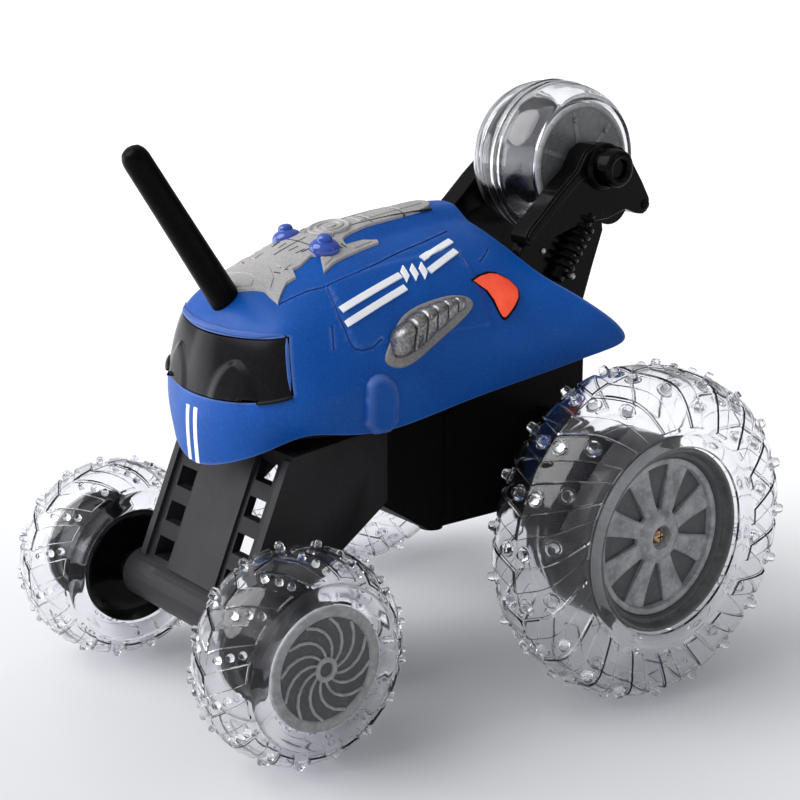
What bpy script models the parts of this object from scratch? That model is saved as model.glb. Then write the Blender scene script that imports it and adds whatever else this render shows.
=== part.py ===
"""Radio-controlled stunt car: two driven rear wheels, two front wheels, one fifth wheel on a rear arm.

Sizes are in millimetres and MM turns them into metres. The nose points to -Y, the car's left side is +X
and +Z is up. The ground is z = 0 and the origin is below the middle of the car's outer box.
"""
import math

import bmesh
import bpy
from mathutils import Matrix, Vector

MM = 0.001
GAP = 0.3                       # running and fitting gap between neighbouring pieces
LEFT, RIGHT = 1, -1
SIDES = ((LEFT, "left"), (RIGHT, "right"))

# Axles: y and z of each wheel centre
REAR_Y, REAR_Z = 47.6, 56.0
FRONT_Y, FRONT_Z = -70.7, 35.0
FIFTH_Y, FIFTH_Z = 78.3, 165.4

# Rear wheels
REAR_TYRE_R, REAR_IN, REAR_OUT = 56.0, 57.0, 93.0
REAR_RIM_R = 30.5
REAR_SHAFT_R, SHAFT_IN, SHAFT_OUT = 2.5, 24.0, 84.0
SPOKES = 8

# Front wheels
FRONT_TYRE_R, FRONT_IN, FRONT_OUT = 35.0, 39.75, 69.75
FRONT_RIM_R = 19.6
FRONT_AXLE_R, FRONT_AXLE_HALF = 2.0, 62.0
SWIRL_RIBS = 12
DRUM_WINDOWS = 6

# Fifth wheel
FIFTH_TYRE_R, FIFTH_HALF = 27.5, 15.5
FIFTH_RIM_R = 20.7
FIFTH_AXLE_R, FIFTH_AXLE_HALF = 2.0, 29.0

# Gear train: module and teeth, and the axes of the compound gear and the motor
MODULE = 0.75
PINION_TEETH, BIG_TEETH, SMALL_TEETH, FINAL_TEETH = 8, 17, 8, 20
COMPOUND_Y, COMPOUND_Z = REAR_Y - 3.0, REAR_Z + 10.06
MOTOR_Y, MOTOR_Z = COMPOUND_Y + 3.5, COMPOUND_Z + 8.7
MOTOR_R, MOTOR_IN, MOTOR_OUT = 10.0, 1.5, 26.5
GEAR_PIN_R = 1.2

# Chassis
TUB_HALF, TUB_WALL = 29.5, 2.0
TUB_FRONT_Y, TUB_REAR_Y = REAR_Y - 66.0, REAR_Y + 20.0
TUB_FLOOR_Z = 52.5
DECK_SLOPE = 0.14
DECK_THICK = 2.0
DOOR_FRONT_Y, DOOR_REAR_Y, DOOR_HALF = REAR_Y - 45.5, REAR_Y - 12.5, 26.0
DOOR_SCREW_X = 20.0

# Battery
CELL_R, CELL_HALF = 7.1, 25.0
CELL_Y = (REAR_Y - 37.0, REAR_Y - 21.5)
CELL_Z = (63.2, 78.2)

# Body shell
SHELL_THICK = 1.6
SHELL_LEVEL = 1
WINDSHIELD_COLUMNS, WINDSHIELD_ROWS = (0, 3), (3, 5)

# Arm fork
ARM_IN, ARM_OUT, BOSS_OUT = 17.5, 25.5, 34.5
BOSS_R = 6.5


# ---------------------------------------------------------------- scene and materials

def clear_scene():
    for thing in list(bpy.data.objects):
        bpy.data.objects.remove(thing, do_unlink=True)
    for group in list(bpy.data.collections):
        bpy.data.collections.remove(group)


clear_scene()
CAR = bpy.data.collections.new("rc_stunt_car")
TOOLS = bpy.data.collections.new("cutters")
bpy.context.scene.collection.children.link(CAR)
bpy.context.scene.collection.children.link(TOOLS)


def material(name, colour, roughness, metallic=0.0, transmission=0.0, emission=0.0):
    mat = bpy.data.materials.new(name)
    mat.use_nodes = True
    shader = mat.node_tree.nodes["Principled BSDF"]
    shader.inputs["Base Color"].default_value = (*colour, 1.0)
    shader.inputs["Roughness"].default_value = roughness
    shader.inputs["Metallic"].default_value = metallic
    shader.inputs["Transmission Weight"].default_value = transmission
    shader.inputs["Emission Color"].default_value = (*colour, 1.0)
    shader.inputs["Emission Strength"].default_value = emission
    mat.diffuse_color = (*colour, 1.0)
    return mat


BLUE = material("blue_gloss_plastic", (0.01, 0.09, 0.42), 0.3)
SMOKE = material("smoke_plastic", (0.012, 0.012, 0.014), 0.25)
BLACK = material("black_matte_plastic", (0.018, 0.017, 0.018), 0.55)
BLACK_GLOSS = material("black_gloss_plastic", (0.008, 0.008, 0.009), 0.22)
RUBBER = material("antenna_rubber", (0.012, 0.012, 0.013), 0.6)
SILVER = material("silver_painted_plastic", (0.42, 0.43, 0.44), 0.38, metallic=0.6)
RED_LENS = material("red_lens", (0.9, 0.08, 0.02), 0.2, transmission=0.4, emission=1.0)
CLEAR = material("clear_tyre", (0.86, 0.88, 0.95), 0.06, transmission=0.95)
GREY = material("grey_rim_plastic", (0.12, 0.125, 0.12), 0.45)
SMOKE_CLEAR = material("smoke_clear_plastic", (0.1, 0.1, 0.11), 0.15, transmission=0.4)
STEEL = material("steel", (0.5, 0.5, 0.52), 0.28, metallic=1.0)
BRASS = material("brass", (0.55, 0.3, 0.12), 0.3, metallic=1.0)
GEAR_WHITE = material("gear_nylon", (0.75, 0.74, 0.68), 0.5)
BOARD_GREEN = material("circuit_board", (0.02, 0.16, 0.06), 0.5)
CELL_WRAP = material("cell_wrap", (0.05, 0.06, 0.07), 0.35, metallic=0.3)
NICKEL = material("nickel_contact", (0.6, 0.58, 0.52), 0.3, metallic=1.0)


# ---------------------------------------------------------------- helpers

def finish(name, mesh, mat, smooth_angle=None, group=CAR):
    """Link a mesh as one named object with its material."""
    obj = bpy.data.objects.new(name, mesh)
    group.objects.link(obj)
    mesh.materials.clear()
    mesh.materials.append(mat)
    if smooth_angle is not None:
        mesh.shade_smooth()
        mesh.set_sharp_from_angle(angle=math.radians(smooth_angle))
    return obj


def to_mesh(name, bm):
    """Turn a bmesh held in millimetres into a mesh in metres."""
    bmesh.ops.scale(bm, vec=(MM, MM, MM), verts=bm.verts)
    bmesh.ops.recalc_face_normals(bm, faces=bm.faces)
    mesh = bpy.data.meshes.new(name)
    bm.to_mesh(mesh)
    bm.free()
    return mesh


def box_mesh(name, low, high):
    bm = bmesh.new()
    bmesh.ops.create_cube(bm, size=1.0)
    size = [high[i] - low[i] for i in range(3)]
    middle = [(high[i] + low[i]) / 2 for i in range(3)]
    bmesh.ops.scale(bm, vec=size, verts=bm.verts)
    bmesh.ops.translate(bm, vec=middle, verts=bm.verts)
    return to_mesh(name, bm)


def rod_mesh(name, radius, x0, x1, y, z, segments=24):
    """A solid cylinder along X from x0 to x1."""
    bm = bmesh.new()
    bmesh.ops.create_cone(bm, cap_ends=True, segments=segments, radius1=radius, radius2=radius,
                          depth=abs(x1 - x0))
    turn = Matrix.Rotation(math.radians(90.0), 4, "Y")
    bmesh.ops.transform(bm, matrix=Matrix.Translation(((x0 + x1) / 2, y, z)) @ turn, verts=bm.verts)
    return to_mesh(name, bm)


def post_mesh(name, radius, z0, z1, x, y):
    """A solid upright cylinder from z0 to z1."""
    bm = bmesh.new()
    bmesh.ops.create_cone(bm, cap_ends=True, segments=20, radius1=radius, radius2=radius, depth=z1 - z0)
    bmesh.ops.translate(bm, vec=(x, y, (z0 + z1) / 2), verts=bm.verts)
    return to_mesh(name, bm)


def slab_mesh(name, corners, push):
    """A flat face of corner points pushed along a vector into a solid."""
    bm = bmesh.new()
    face = bm.faces.new([bm.verts.new(corner) for corner in corners])
    grown = bmesh.ops.extrude_face_region(bm, geom=[face])
    moved = [item for item in grown["geom"] if isinstance(item, bmesh.types.BMVert)]
    bmesh.ops.translate(bm, vec=push, verts=moved)
    return to_mesh(name, bm)


def prism_mesh(name, outline, x0, x1):
    """A flat outline of (y, z) points extruded along X from x0 to x1."""
    return slab_mesh(name, [(x0, y, z) for y, z in outline], (x1 - x0, 0, 0))


def arc(cy, cz, radius, start, stop, count):
    """Points of an arc in the YZ plane, angles in degrees from +Y towards +Z."""
    points = []
    for step in range(count + 1):
        angle = math.radians(start + (stop - start) * step / count)
        points.append((cy + radius * math.cos(angle), cz + radius * math.sin(angle)))
    return points


def boolean(target, mesh_or_object, operation):
    """Cut, join or intersect with a helper piece kept in the cutters collection."""
    tool = mesh_or_object
    if isinstance(tool, bpy.types.Mesh):
        tool = bpy.data.objects.new(tool.name, tool)
        TOOLS.objects.link(tool)
    tool.hide_render = True
    tool.display_type = "WIRE"
    step = target.modifiers.new(operation.lower() + "_" + tool.name, "BOOLEAN")
    step.operation = operation
    step.solver = "EXACT"
    step.object = tool
    return step


def cut(target, *tools):
    for tool in tools:
        boolean(target, tool, "DIFFERENCE")


def join(target, *tools):
    for tool in tools:
        boolean(target, tool, "UNION")


def turned(name, profile, side, x, y, z, mat, segments=32, smooth_angle=40):
    """A closed (radius, outward) profile turned about a wheel axis and placed at its centre."""
    bm = bmesh.new()
    area = sum(a[0] * b[1] - b[0] * a[1] for a, b in zip(profile, profile[1:] + profile[:1]))
    if area > 0:
        profile = profile[::-1]         # this order gives outward faces
    corners = [bm.verts.new((radius, 0.0, along)) for radius, along in profile]
    for here, there in zip(corners, corners[1:] + corners[:1]):
        if here.co.x > 0.0 or there.co.x > 0.0:
            bm.edges.new((here, there))
    bmesh.ops.scale(bm, vec=(MM, MM, MM), verts=bm.verts)
    mesh = bpy.data.meshes.new(name)
    bm.to_mesh(mesh)
    bm.free()
    obj = finish(name, mesh, mat, smooth_angle)
    screw = obj.modifiers.new("turn", "SCREW")
    screw.axis = "Z"
    screw.angle = math.radians(360.0)
    screw.steps = segments
    screw.render_steps = segments
    screw.use_merge_vertices = True
    screw.merge_threshold = 0.00005
    obj.rotation_euler = (0.0, math.radians(90.0 * side), 0.0)
    obj.location = (side * x * MM, y * MM, z * MM)
    return obj


def gear_outline(teeth, phase):
    """Outline points of a spur gear with straight-sided teeth, as (a, b) about its centre."""
    pitch_r = MODULE * teeth / 2
    root_r = pitch_r - 1.15 * MODULE
    tip_r = pitch_r + 0.85 * MODULE
    step = 2 * math.pi / teeth
    points = []
    for tooth in range(teeth):
        middle = phase + tooth * step
        for share, radius in ((-0.30, root_r), (-0.13, tip_r), (0.13, tip_r), (0.30, root_r)):
            angle = middle + share * step
            points.append((radius * math.cos(angle), radius * math.sin(angle)))
    return points


def gear(name, teeth, phase, side, span, y, z, mat, group=CAR):
    """A spur gear with its origin at (y, z), over a span of x out from the middle of the car."""
    low, high = sorted((side * span[0], side * span[1]))
    obj = finish(name, prism_mesh(name, gear_outline(teeth, phase), low, high), mat, group=group)
    obj.location = (0.0, y * MM, z * MM)
    return obj


def hang(obj, pivot):
    """Move an object's origin to its joint axis and leave its shape where it is."""
    place = Vector(pivot) * MM
    obj.data.transform(Matrix.Translation(-place))
    obj.location = place


# ---------------------------------------------------------------- wheels

def tyre_profile(outer_r, bead_r, inner, outer, wall):
    """A tyre as a U-shaped shell of one wall thickness, open towards the hub."""
    middle = (inner + outer) / 2
    shoulder = outer_r * 0.955
    side_r = (outer_r + bead_r) * 0.5
    reach = (outer - inner) / 2
    outside = [
        (bead_r, middle + reach), (side_r, middle + reach - 0.6),
        (shoulder, middle + reach * 0.72), (outer_r, middle + reach * 0.25),
    ]
    inside = [
        (outer_r - wall, middle + reach * 0.25), (shoulder - wall, middle + reach * 0.72 - wall * 0.5),
        (bead_r, middle + reach - 0.8 - wall),
    ]
    def mirrored(points):
        return [(radius, 2 * middle - along) for radius, along in reversed(points)]

    return outside + mirrored(outside) + mirrored(inside) + inside


def wedge(name, inner_r, outer_r, x0, x1, y, z, angle, inner_half, outer_half):
    """A wedge-shaped pocket cutter around a wheel axis, angles in degrees."""
    corners = ((inner_r, -inner_half), (outer_r, -outer_half), (outer_r * 1.02, 0.0), (outer_r, outer_half),
               (inner_r, inner_half))
    outline = []
    for radius, turn in corners:
        at = math.radians(angle + turn)
        outline.append((y + radius * math.cos(at), z + radius * math.sin(at)))
    return prism_mesh(name, outline, x0, x1)


def rear_wheel(side, word):
    reach = REAR_OUT
    centre = (REAR_Y, REAR_Z)
    turned("rear_tyre_" + word, tyre_profile(REAR_TYRE_R, REAR_RIM_R + GAP, REAR_IN, REAR_OUT, 2.0),
           side, 0.0, *centre, CLEAR, segments=32)
    drum = [
        (REAR_SHAFT_R + GAP, 59.0), (6.0, 59.0), (6.0, 78.0), (25.5, 78.0), (25.5, 59.0),
        (REAR_RIM_R, 57.2), (REAR_RIM_R, 59.5), (27.8, 61.0), (27.5, 85.0), (25.5, 85.0), (25.5, 80.0),
        (6.0, 80.0), (6.0, 83.0), (REAR_SHAFT_R + GAP, 83.0),
    ]
    turned("rear_drum_" + word, drum, side, 0.0, *centre, BLACK_GLOSS, segments=24)
    dish_profile = [
        (1.6, 85.3), (27.0, 85.3), (REAR_RIM_R, 88.3), (REAR_RIM_R, reach), (28.8, reach),
        (28.0, 89.8), (25.4, 89.2), (24.6, 87.2), (9.0, 86.8), (7.5, 89.8), (4.2, 89.8), (4.0, 86.6),
        (1.6, 86.6),
    ]
    dish = turned("rear_dish_" + word, dish_profile, side, 0.0, *centre, GREY, segments=28)
    for spoke in range(SPOKES):
        angle = 360.0 * (spoke + 0.5) / SPOKES
        low, high = sorted((side * 84.0, side * 90.0))
        cut(dish, wedge("spoke_gap_%s_%d" % (word, spoke), 10.5, 23.5, low, high, *centre, angle, 9.0, 15.5))
    screw_profile = [
        (0.0, 76.5), (1.0, 77.0), (1.3, 78.0), (1.3, 86.9), (2.3, 86.9), (2.3, 88.0), (1.5, 88.8),
        (0.0, 89.0),
    ]
    screw = turned("rear_screw_" + word, screw_profile, side, 0.0, *centre, BRASS, segments=16)
    low, high = sorted((side * 88.1, side * 90.0))
    for long_y, long_z in ((1.3, 0.3), (0.3, 1.3)):
        corner = ((low, REAR_Y - long_y, REAR_Z - long_z), (high, REAR_Y + long_y, REAR_Z + long_z))
        cut(screw, box_mesh("screw_cross_%s_%g" % (word, long_y), *corner))
    shaft_profile = [
        (0.0, SHAFT_IN), (2.1, SHAFT_IN), (REAR_SHAFT_R, SHAFT_IN + 0.5), (REAR_SHAFT_R, SHAFT_OUT),
        (1.6, SHAFT_OUT), (1.6, 76.0), (0.0, 76.0),
    ]
    turned("rear_shaft_" + word, shaft_profile, side, 0.0, *centre, STEEL, segments=16)


def front_wheel(side, word):
    centre = (FRONT_Y, FRONT_Z)
    turned("front_tyre_" + word, tyre_profile(FRONT_TYRE_R, FRONT_RIM_R + GAP, FRONT_IN, FRONT_OUT, 1.8),
           side, 0.0, *centre, CLEAR, segments=26)
    bore = FRONT_AXLE_R + GAP
    drum_profile = [
        (bore, 40.5), (6.0, 40.5), (6.0, 42.5), (16.0, 42.5), (FRONT_RIM_R, 41.0), (FRONT_RIM_R, 44.0),
        (18.0, 45.5), (18.0, 67.4), (16.4, 67.4), (16.4, 44.0), (5.0, 44.0), (5.0, 63.0), (bore, 63.0),
    ]
    drum = turned("front_drum_" + word, drum_profile, side, 0.0, *centre, BLACK_GLOSS, segments=24)
    low, high = sorted((side * 49.0, side * 61.0))
    for window in range(DRUM_WINDOWS):
        angle = math.radians(360.0 * (window + 0.5) / DRUM_WINDOWS)
        opening = box_mesh("drum_window_%s_%d" % (word, window), (low, 12.0, -3.5), (high, 22.0, 3.5))
        tool = bpy.data.objects.new(opening.name, opening)
        TOOLS.objects.link(tool)
        tool.rotation_euler = (angle, 0.0, 0.0)
        tool.location = (0.0, FRONT_Y * MM, FRONT_Z * MM)
        cut(drum, tool)
    cap_profile = [
        (0.0, 67.8), (FRONT_RIM_R, 67.8), (FRONT_RIM_R, FRONT_OUT), (18.2, FRONT_OUT), (17.4, 69.0),
        (3.6, 69.0), (3.2, 69.6), (2.0, 69.6), (1.8, 69.0), (0.0, 69.0),
    ]
    cap = turned("front_cap_" + word, cap_profile, side, 0.0, *centre, GREY, segments=24)
    low, high = sorted((side * 68.6, side * 69.5))
    for rib in range(SWIRL_RIBS):
        start = 360.0 * rib / SWIRL_RIBS
        edge = []
        for offset in (-0.35, 0.35):
            stretch = [(4.0, 0.0), (10.0, 23.0), (15.8, 56.0)]
            stretch = stretch if offset < 0 else stretch[::-1]
            for radius, sweep in stretch:
                turn = math.radians(start + side * sweep)
                across = turn + math.radians(90.0)
                edge.append((FRONT_Y + radius * math.cos(turn) + offset * math.cos(across),
                             FRONT_Z + radius * math.sin(turn) + offset * math.sin(across)))
        join(cap, prism_mesh("swirl_%s_%d" % (word, rib), edge, low, high))


def fifth_wheel():
    centre = (FIFTH_Y, FIFTH_Z)
    turned("fifth_tyre", tyre_profile(FIFTH_TYRE_R, FIFTH_RIM_R + GAP, -FIFTH_HALF, FIFTH_HALF, 1.6),
           LEFT, 0.0, *centre, CLEAR, segments=24)
    bore = FIFTH_AXLE_R + GAP
    half = [(bore, 13.0), (5.0, 13.0), (5.0, 1.5), (15.5, 1.5), (15.5, 12.6), (FIFTH_RIM_R, 13.0),
            (FIFTH_RIM_R, 11.6), (17.0, 9.5)]
    drum_profile = half + [(radius, -along) for radius, along in reversed(half)]
    turned("fifth_drum", drum_profile, LEFT, 0.0, *centre, BLACK_GLOSS, segments=20)
    for side, word in SIDES:
        cap_profile = [
            (bore, 13.4), (FIFTH_RIM_R, 13.4), (FIFTH_RIM_R, FIFTH_HALF), (19.2, FIFTH_HALF), (18.6, 14.8),
            (6.0, 14.6), (5.5, 15.4), (bore, 15.4),
        ]
        turned("fifth_cap_" + word, cap_profile, side, 0.0, *centre, SMOKE_CLEAR, segments=20)
    axle = [(0.0, -FIFTH_AXLE_HALF), (FIFTH_AXLE_R, -FIFTH_AXLE_HALF), (FIFTH_AXLE_R, FIFTH_AXLE_HALF),
            (0.0, FIFTH_AXLE_HALF)]
    turned("fifth_axle", axle, LEFT, 0.0, *centre, STEEL, segments=16)


# ---------------------------------------------------------------- drive

def gear_train(side, word):
    """Motor pinion, compound gear and final gear of one rear wheel, in mesh at rest.

    At each mesh the larger gear points a tooth at the smaller one, which points a gap back.
    """
    to_compound = math.atan2(COMPOUND_Z - REAR_Z, COMPOUND_Y - REAR_Y)
    to_motor = math.atan2(MOTOR_Z - COMPOUND_Z, MOTOR_Y - COMPOUND_Y)
    small_phase = to_compound + math.pi + math.pi / SMALL_TEETH
    pinion_phase = to_motor + math.pi + math.pi / PINION_TEETH
    final = gear("final_gear_" + word, FINAL_TEETH, to_compound, side, (36.8, 41.2), REAR_Y, REAR_Z,
                 GEAR_WHITE)
    cut(final, rod_mesh("final_bore_" + word, REAR_SHAFT_R + GAP, side * 35.0, side * 43.0,
                        REAR_Y, REAR_Z, 16))
    compound = gear("compound_gear_" + word, BIG_TEETH, to_motor, side, (32.0, 36.0), COMPOUND_Y, COMPOUND_Z,
                    GEAR_WHITE)
    small = gear("small_gear_" + word, SMALL_TEETH, small_phase, side, (35.5, 41.8), COMPOUND_Y, COMPOUND_Z,
                 GEAR_WHITE, group=TOOLS)
    boolean(compound, small, "UNION")
    cut(compound, rod_mesh("compound_bore_" + word, GEAR_PIN_R + GAP, side * 30.0, side * 44.0,
                           COMPOUND_Y, COMPOUND_Z, 12))
    pinion = gear("motor_pinion_" + word, PINION_TEETH, pinion_phase, side, (31.2, 37.0), MOTOR_Y, MOTOR_Z,
                  BRASS)
    join(pinion, rod_mesh("pinion_shaft_" + word, 1.0, side * 24.0, side * 32.0, MOTOR_Y, MOTOR_Z, 12))
    motor_profile = [
        (0.0, MOTOR_IN), (4.0, MOTOR_IN), (4.2, MOTOR_IN + 1.5), (9.2, MOTOR_IN + 1.5),
        (MOTOR_R, MOTOR_IN + 2.5),
        (MOTOR_R, MOTOR_OUT - 1.0), (9.2, MOTOR_OUT), (3.0, MOTOR_OUT), (3.0, MOTOR_OUT + 1.4),
        (1.3, MOTOR_OUT + 1.4), (1.3, 23.5), (0.0, 23.5),
    ]
    turned("motor_" + word, motor_profile, side, 0.0, MOTOR_Y, MOTOR_Z, STEEL, segments=16)


def gearbox_case(side, word):
    """A closed-end cover over the gear train, open towards the tub wall."""
    low, high = REAR_Z, MOTOR_Z + 0.5

    def stadium(grow):
        return (arc(REAR_Y, low, 11.5 + grow, 180, 360, 10) + arc(REAR_Y, high, 10.0 + grow, 0, 180, 10))

    near, far = TUB_HALF + GAP, 45.5
    case = finish("gearbox_case_" + word,
                  prism_mesh("case", stadium(1.5), *sorted((side * near, side * far))), BLACK)
    cut(case, prism_mesh("case_hollow_" + word, stadium(0.0), *sorted((side * (near - 1), side * (far - 1.8)))))
    join(case, rod_mesh("case_nose_" + word, 6.5, side * (far - 1.0), side * 56.0, REAR_Y, REAR_Z, 16))
    join(case, rod_mesh("case_pin_" + word, GEAR_PIN_R, side * 30.6, side * (far - 0.9),
                        COMPOUND_Y, COMPOUND_Z, 12))
    cut(case, rod_mesh("case_bore_" + word, REAR_SHAFT_R + GAP, side * 40.0, side * 58.0, REAR_Y, REAR_Z, 16))


# ---------------------------------------------------------------- chassis

def deck_z(y):
    """Underside height of the deck at y."""
    return 97.0 + DECK_SLOPE * (y - REAR_Y + 76.0)


def chassis_tub():
    front, rear = TUB_FRONT_Y, TUB_REAR_Y
    outline = [
        (front, 64.0), (DOOR_FRONT_Y - 3.0, TUB_FLOOR_Z), (REAR_Y + 2.0, TUB_FLOOR_Z), (rear, 62.0),
        (rear, deck_z(rear) - GAP), (front, deck_z(front) - GAP),
    ]
    wall = TUB_WALL
    inner = [
        (front + wall, 65.0), (DOOR_FRONT_Y - 2.2, TUB_FLOOR_Z + wall), (REAR_Y + 1.5, TUB_FLOOR_Z + wall),
        (rear - wall, 63.2), (rear - wall, deck_z(rear) + 5), (front + wall, deck_z(front) + 5),
    ]
    tub = finish("chassis_tub", prism_mesh("tub", outline, -TUB_HALF, TUB_HALF), BLACK)
    cut(tub, prism_mesh("tub_hollow", inner, -TUB_HALF + wall, TUB_HALF - wall))
    join(tub, box_mesh("bay_wall", (-TUB_HALF + 1, REAR_Y - 12.0, TUB_FLOOR_Z + 1),
                       (TUB_HALF - 1, REAR_Y - 10.4, 84.0)))
    cut(tub, box_mesh("door_opening", (-DOOR_HALF, DOOR_FRONT_Y, TUB_FLOOR_Z - 2),
                      (DOOR_HALF, DOOR_REAR_Y, TUB_FLOOR_Z + 3)))
    cut(tub, box_mesh("switch_slot", (-6.0, REAR_Y - 6.2, TUB_FLOOR_Z - 2),
                      (6.0, REAR_Y - 1.8, TUB_FLOOR_Z + 3)))
    for side, word in SIDES:
        low, high = sorted((side * 20.0, side * 35.0))
        cut(tub, rod_mesh("tub_shaft_hole_" + word, REAR_SHAFT_R + GAP, low, high, REAR_Y, REAR_Z, 16))
        cut(tub, rod_mesh("tub_motor_hole_" + word, 3.6, low, high, MOTOR_Y, MOTOR_Z, 16))
        ridge = box_mesh("side_ridge_" + word, (side * TUB_HALF - 1.2, REAR_Y - 42.0, 56.0),
                         (side * TUB_HALF + 1.2, REAR_Y - 39.6, 92.0))
        join(tub, ridge)


def chassis_deck():
    """Sloping plate that closes the underside of the shell and the top of the tub."""
    plan = [(29, -103), (37.5, -93), (40.3, -76), (41.5, -58), (42.5, -38), (44.0, -14), (44.5, 6), (30, 10),
            (29.5, 20)]
    outline = [(x, REAR_Y + y) for x, y in plan] + [(-x, REAR_Y + y) for x, y in reversed(plan)]
    corners = [(x, y, deck_z(y)) for x, y in outline]
    deck = finish("chassis_deck", slab_mesh("deck", corners, (0, 0, DECK_THICK)), BLACK)
    half = [(44.6, 106.0), (44.0, 111.5), (41.5, 116.0), (37.0, 123.5), (31.0, 131.3), (23.0, 138.5),
            (12.0, 143.5)]
    edge = half + [(-x, z) for x, z in reversed(half)]
    join(deck, slab_mesh("bulkhead", [(x, REAR_Y - 16.5, z) for x, z in edge], (0, DECK_THICK, 0)))


def front_leg():
    tube_r = 8.5
    top_y = REAR_Y - 66.0 - GAP
    outline = [
        (REAR_Y - 122.0, 42.0), (REAR_Y - 102.6, 88.0), (top_y, 92.0), (top_y, 66.5), (REAR_Y - 85.4, 53.0),
        (REAR_Y - 112.0, 29.0), (REAR_Y - 121.0, 31.0),
    ]
    hollow = [
        (REAR_Y - 112.0, 42.0), (REAR_Y - 117.2, 46.0), (REAR_Y - 98.6, 90.0), (REAR_Y - 98.0, 110.0),
        (top_y + 9, 110.0), (top_y + 9, 20.0), (REAR_Y - 104.0, 20.0), (REAR_Y - 104.0, 38.0),
    ]
    leg = finish("front_leg", prism_mesh("leg", outline, -31.0, 31.0), BLACK)
    cut(leg, prism_mesh("leg_hollow", hollow, -28.6, 28.6))
    join(leg, rod_mesh("leg_tube", tube_r, -36.0, 36.0, FRONT_Y, FRONT_Z, 28))
    cut(leg, rod_mesh("leg_bore", FRONT_AXLE_R + GAP, -40.0, 40.0, FRONT_Y, FRONT_Z, 16))
    lean = (102.6 - 122.0) / (88.0 - 42.0)

    def front_y(z):
        return REAR_Y - 122.0 - lean * (z - 42.0)

    def slab(name, x0, x1, z0, z1, out, back):
        low_y, high_y = front_y(z0), front_y(z1)
        edge = [(low_y - out, z0), (high_y - out, z1), (high_y + back, z1), (low_y + back, z0)]
        return prism_mesh(name, edge, x0, x1)

    join(leg, slab("centre_panel", -13.6, 13.6, 43.0, 86.0, 1.0, 1.5))
    for side, word in SIDES:
        join(leg, slab("edge_rail_" + word, side * 28.0, side * 31.0, 44.0, 87.0, 1.3, 1.5))
        for row in range(4):
            middle = 47.6 + 11.2 * row
            low, high = sorted((side * 15.6, side * 24.6))
            cut(leg, slab("leg_window_%s_%d" % (word, row), low, high, middle - 3.2, middle + 3.2, 4.0, 8.0))


def front_axle():
    turned("front_axle", [(0.0, -FRONT_AXLE_HALF), (FRONT_AXLE_R, -FRONT_AXLE_HALF),
                          (FRONT_AXLE_R, FRONT_AXLE_HALF), (0.0, FRONT_AXLE_HALF)],
           LEFT, 0.0, FRONT_Y, FRONT_Z, STEEL, segments=16)


def battery():
    for row, y in enumerate(CELL_Y):
        for level, z in enumerate(CELL_Z):
            flip = LEFT if (row + level) % 2 else RIGHT
            profile = [(0.0, -CELL_HALF), (CELL_R, -CELL_HALF), (CELL_R, 23.8), (2.7, 23.8), (2.7, CELL_HALF),
                       (0.0, CELL_HALF)]
            turned("cell_%d" % (row * 2 + level + 1), profile, flip, 0.0, y, z, CELL_WRAP, segments=20)
    plate = CELL_HALF + GAP
    thick = 0.6
    middle_y = sum(CELL_Y) / 2
    middle_z = sum(CELL_Z) / 2

    def contact(name, side, y0, y1, z0, z1):
        low, high = sorted((side * plate, side * (plate + thick)))
        finish(name, box_mesh(name, (low, y0, z0), (high, y1, z1)), NICKEL)

    half = 5.0
    low, top = CELL_Z[0] - half, CELL_Z[1] + half
    for index, y in enumerate(CELL_Y):
        contact("contact_bridge_%d" % (index + 1), LEFT, y - half, y + half, low, top)
        contact("contact_terminal_%d" % (index + 1), RIGHT, y - half, y + half, low, CELL_Z[0] + half)
    contact("contact_bridge_3", RIGHT, middle_y - 12.5, middle_y + 12.5, middle_z + 2.5, top)


def battery_door():
    """The door swings down about its rear lower edge once its screw is loose."""
    low, high = TUB_FLOOR_Z, TUB_FLOOR_Z + TUB_WALL
    hinge = (0.0, DOOR_REAR_Y - GAP, TUB_FLOOR_Z)
    door = finish("battery_door", box_mesh("door", (-DOOR_HALF + GAP, DOOR_FRONT_Y + GAP, low),
                                           (DOOR_HALF - GAP, DOOR_REAR_Y - GAP, high)), BLACK)
    for rib in range(5):
        y = DOOR_FRONT_Y + 9.0 + 4.0 * rib
        join(door, box_mesh("door_rib_%d" % rib, (-12.0, y, low - 0.8), (12.0, y + 1.4, low + 0.5)))
    spot = (DOOR_SCREW_X, DOOR_FRONT_Y + 6.0)
    boss_low = low - 3.5
    join(door, post_mesh("door_boss", 4.0, boss_low, low + 0.5, *spot))
    cut(door, post_mesh("door_counterbore", 2.9, boss_low - 2, boss_low + 1.7, *spot))
    cut(door, post_mesh("door_screw_hole", 1.4, low - 4, high + 4, *spot))
    screw = finish("door_screw", post_mesh("screw_head", 2.6, boss_low + 0.2, boss_low + 1.4, *spot), STEEL)
    join(screw, post_mesh("door_screw_shank", 1.1, boss_low + 1.0, high + 0.6, *spot))
    cut(screw, box_mesh("door_screw_slot", (spot[0] - 1.6, spot[1] - 0.3, boss_low - 1.0),
                        (spot[0] + 1.6, spot[1] + 0.3, boss_low + 0.7)))
    hang(door, hinge)
    hang(screw, hinge)


def electronics():
    board_low = 88.0
    board = finish("circuit_board", box_mesh("board", (-24.0, REAR_Y - 60.0, board_low),
                                             (24.0, REAR_Y - 15.0, board_low + 1.6)), BOARD_GREEN)
    parts = ((-16, -52, 12, 9, 2.2), (4, -50, 8, 8, 2.0), (-14, -30, 7, 12, 3.0), (8, -30, 5, 5, 4.5),
             (16, -42, 4, 9, 2.4))
    for index, (x, y, wide, long, tall) in enumerate(parts):
        join(board, box_mesh("chip_%d" % index, (x - wide / 2, REAR_Y + y - long / 2, board_low + 1.0),
                             (x + wide / 2, REAR_Y + y + long / 2, board_low + 1.6 + tall)))


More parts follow.
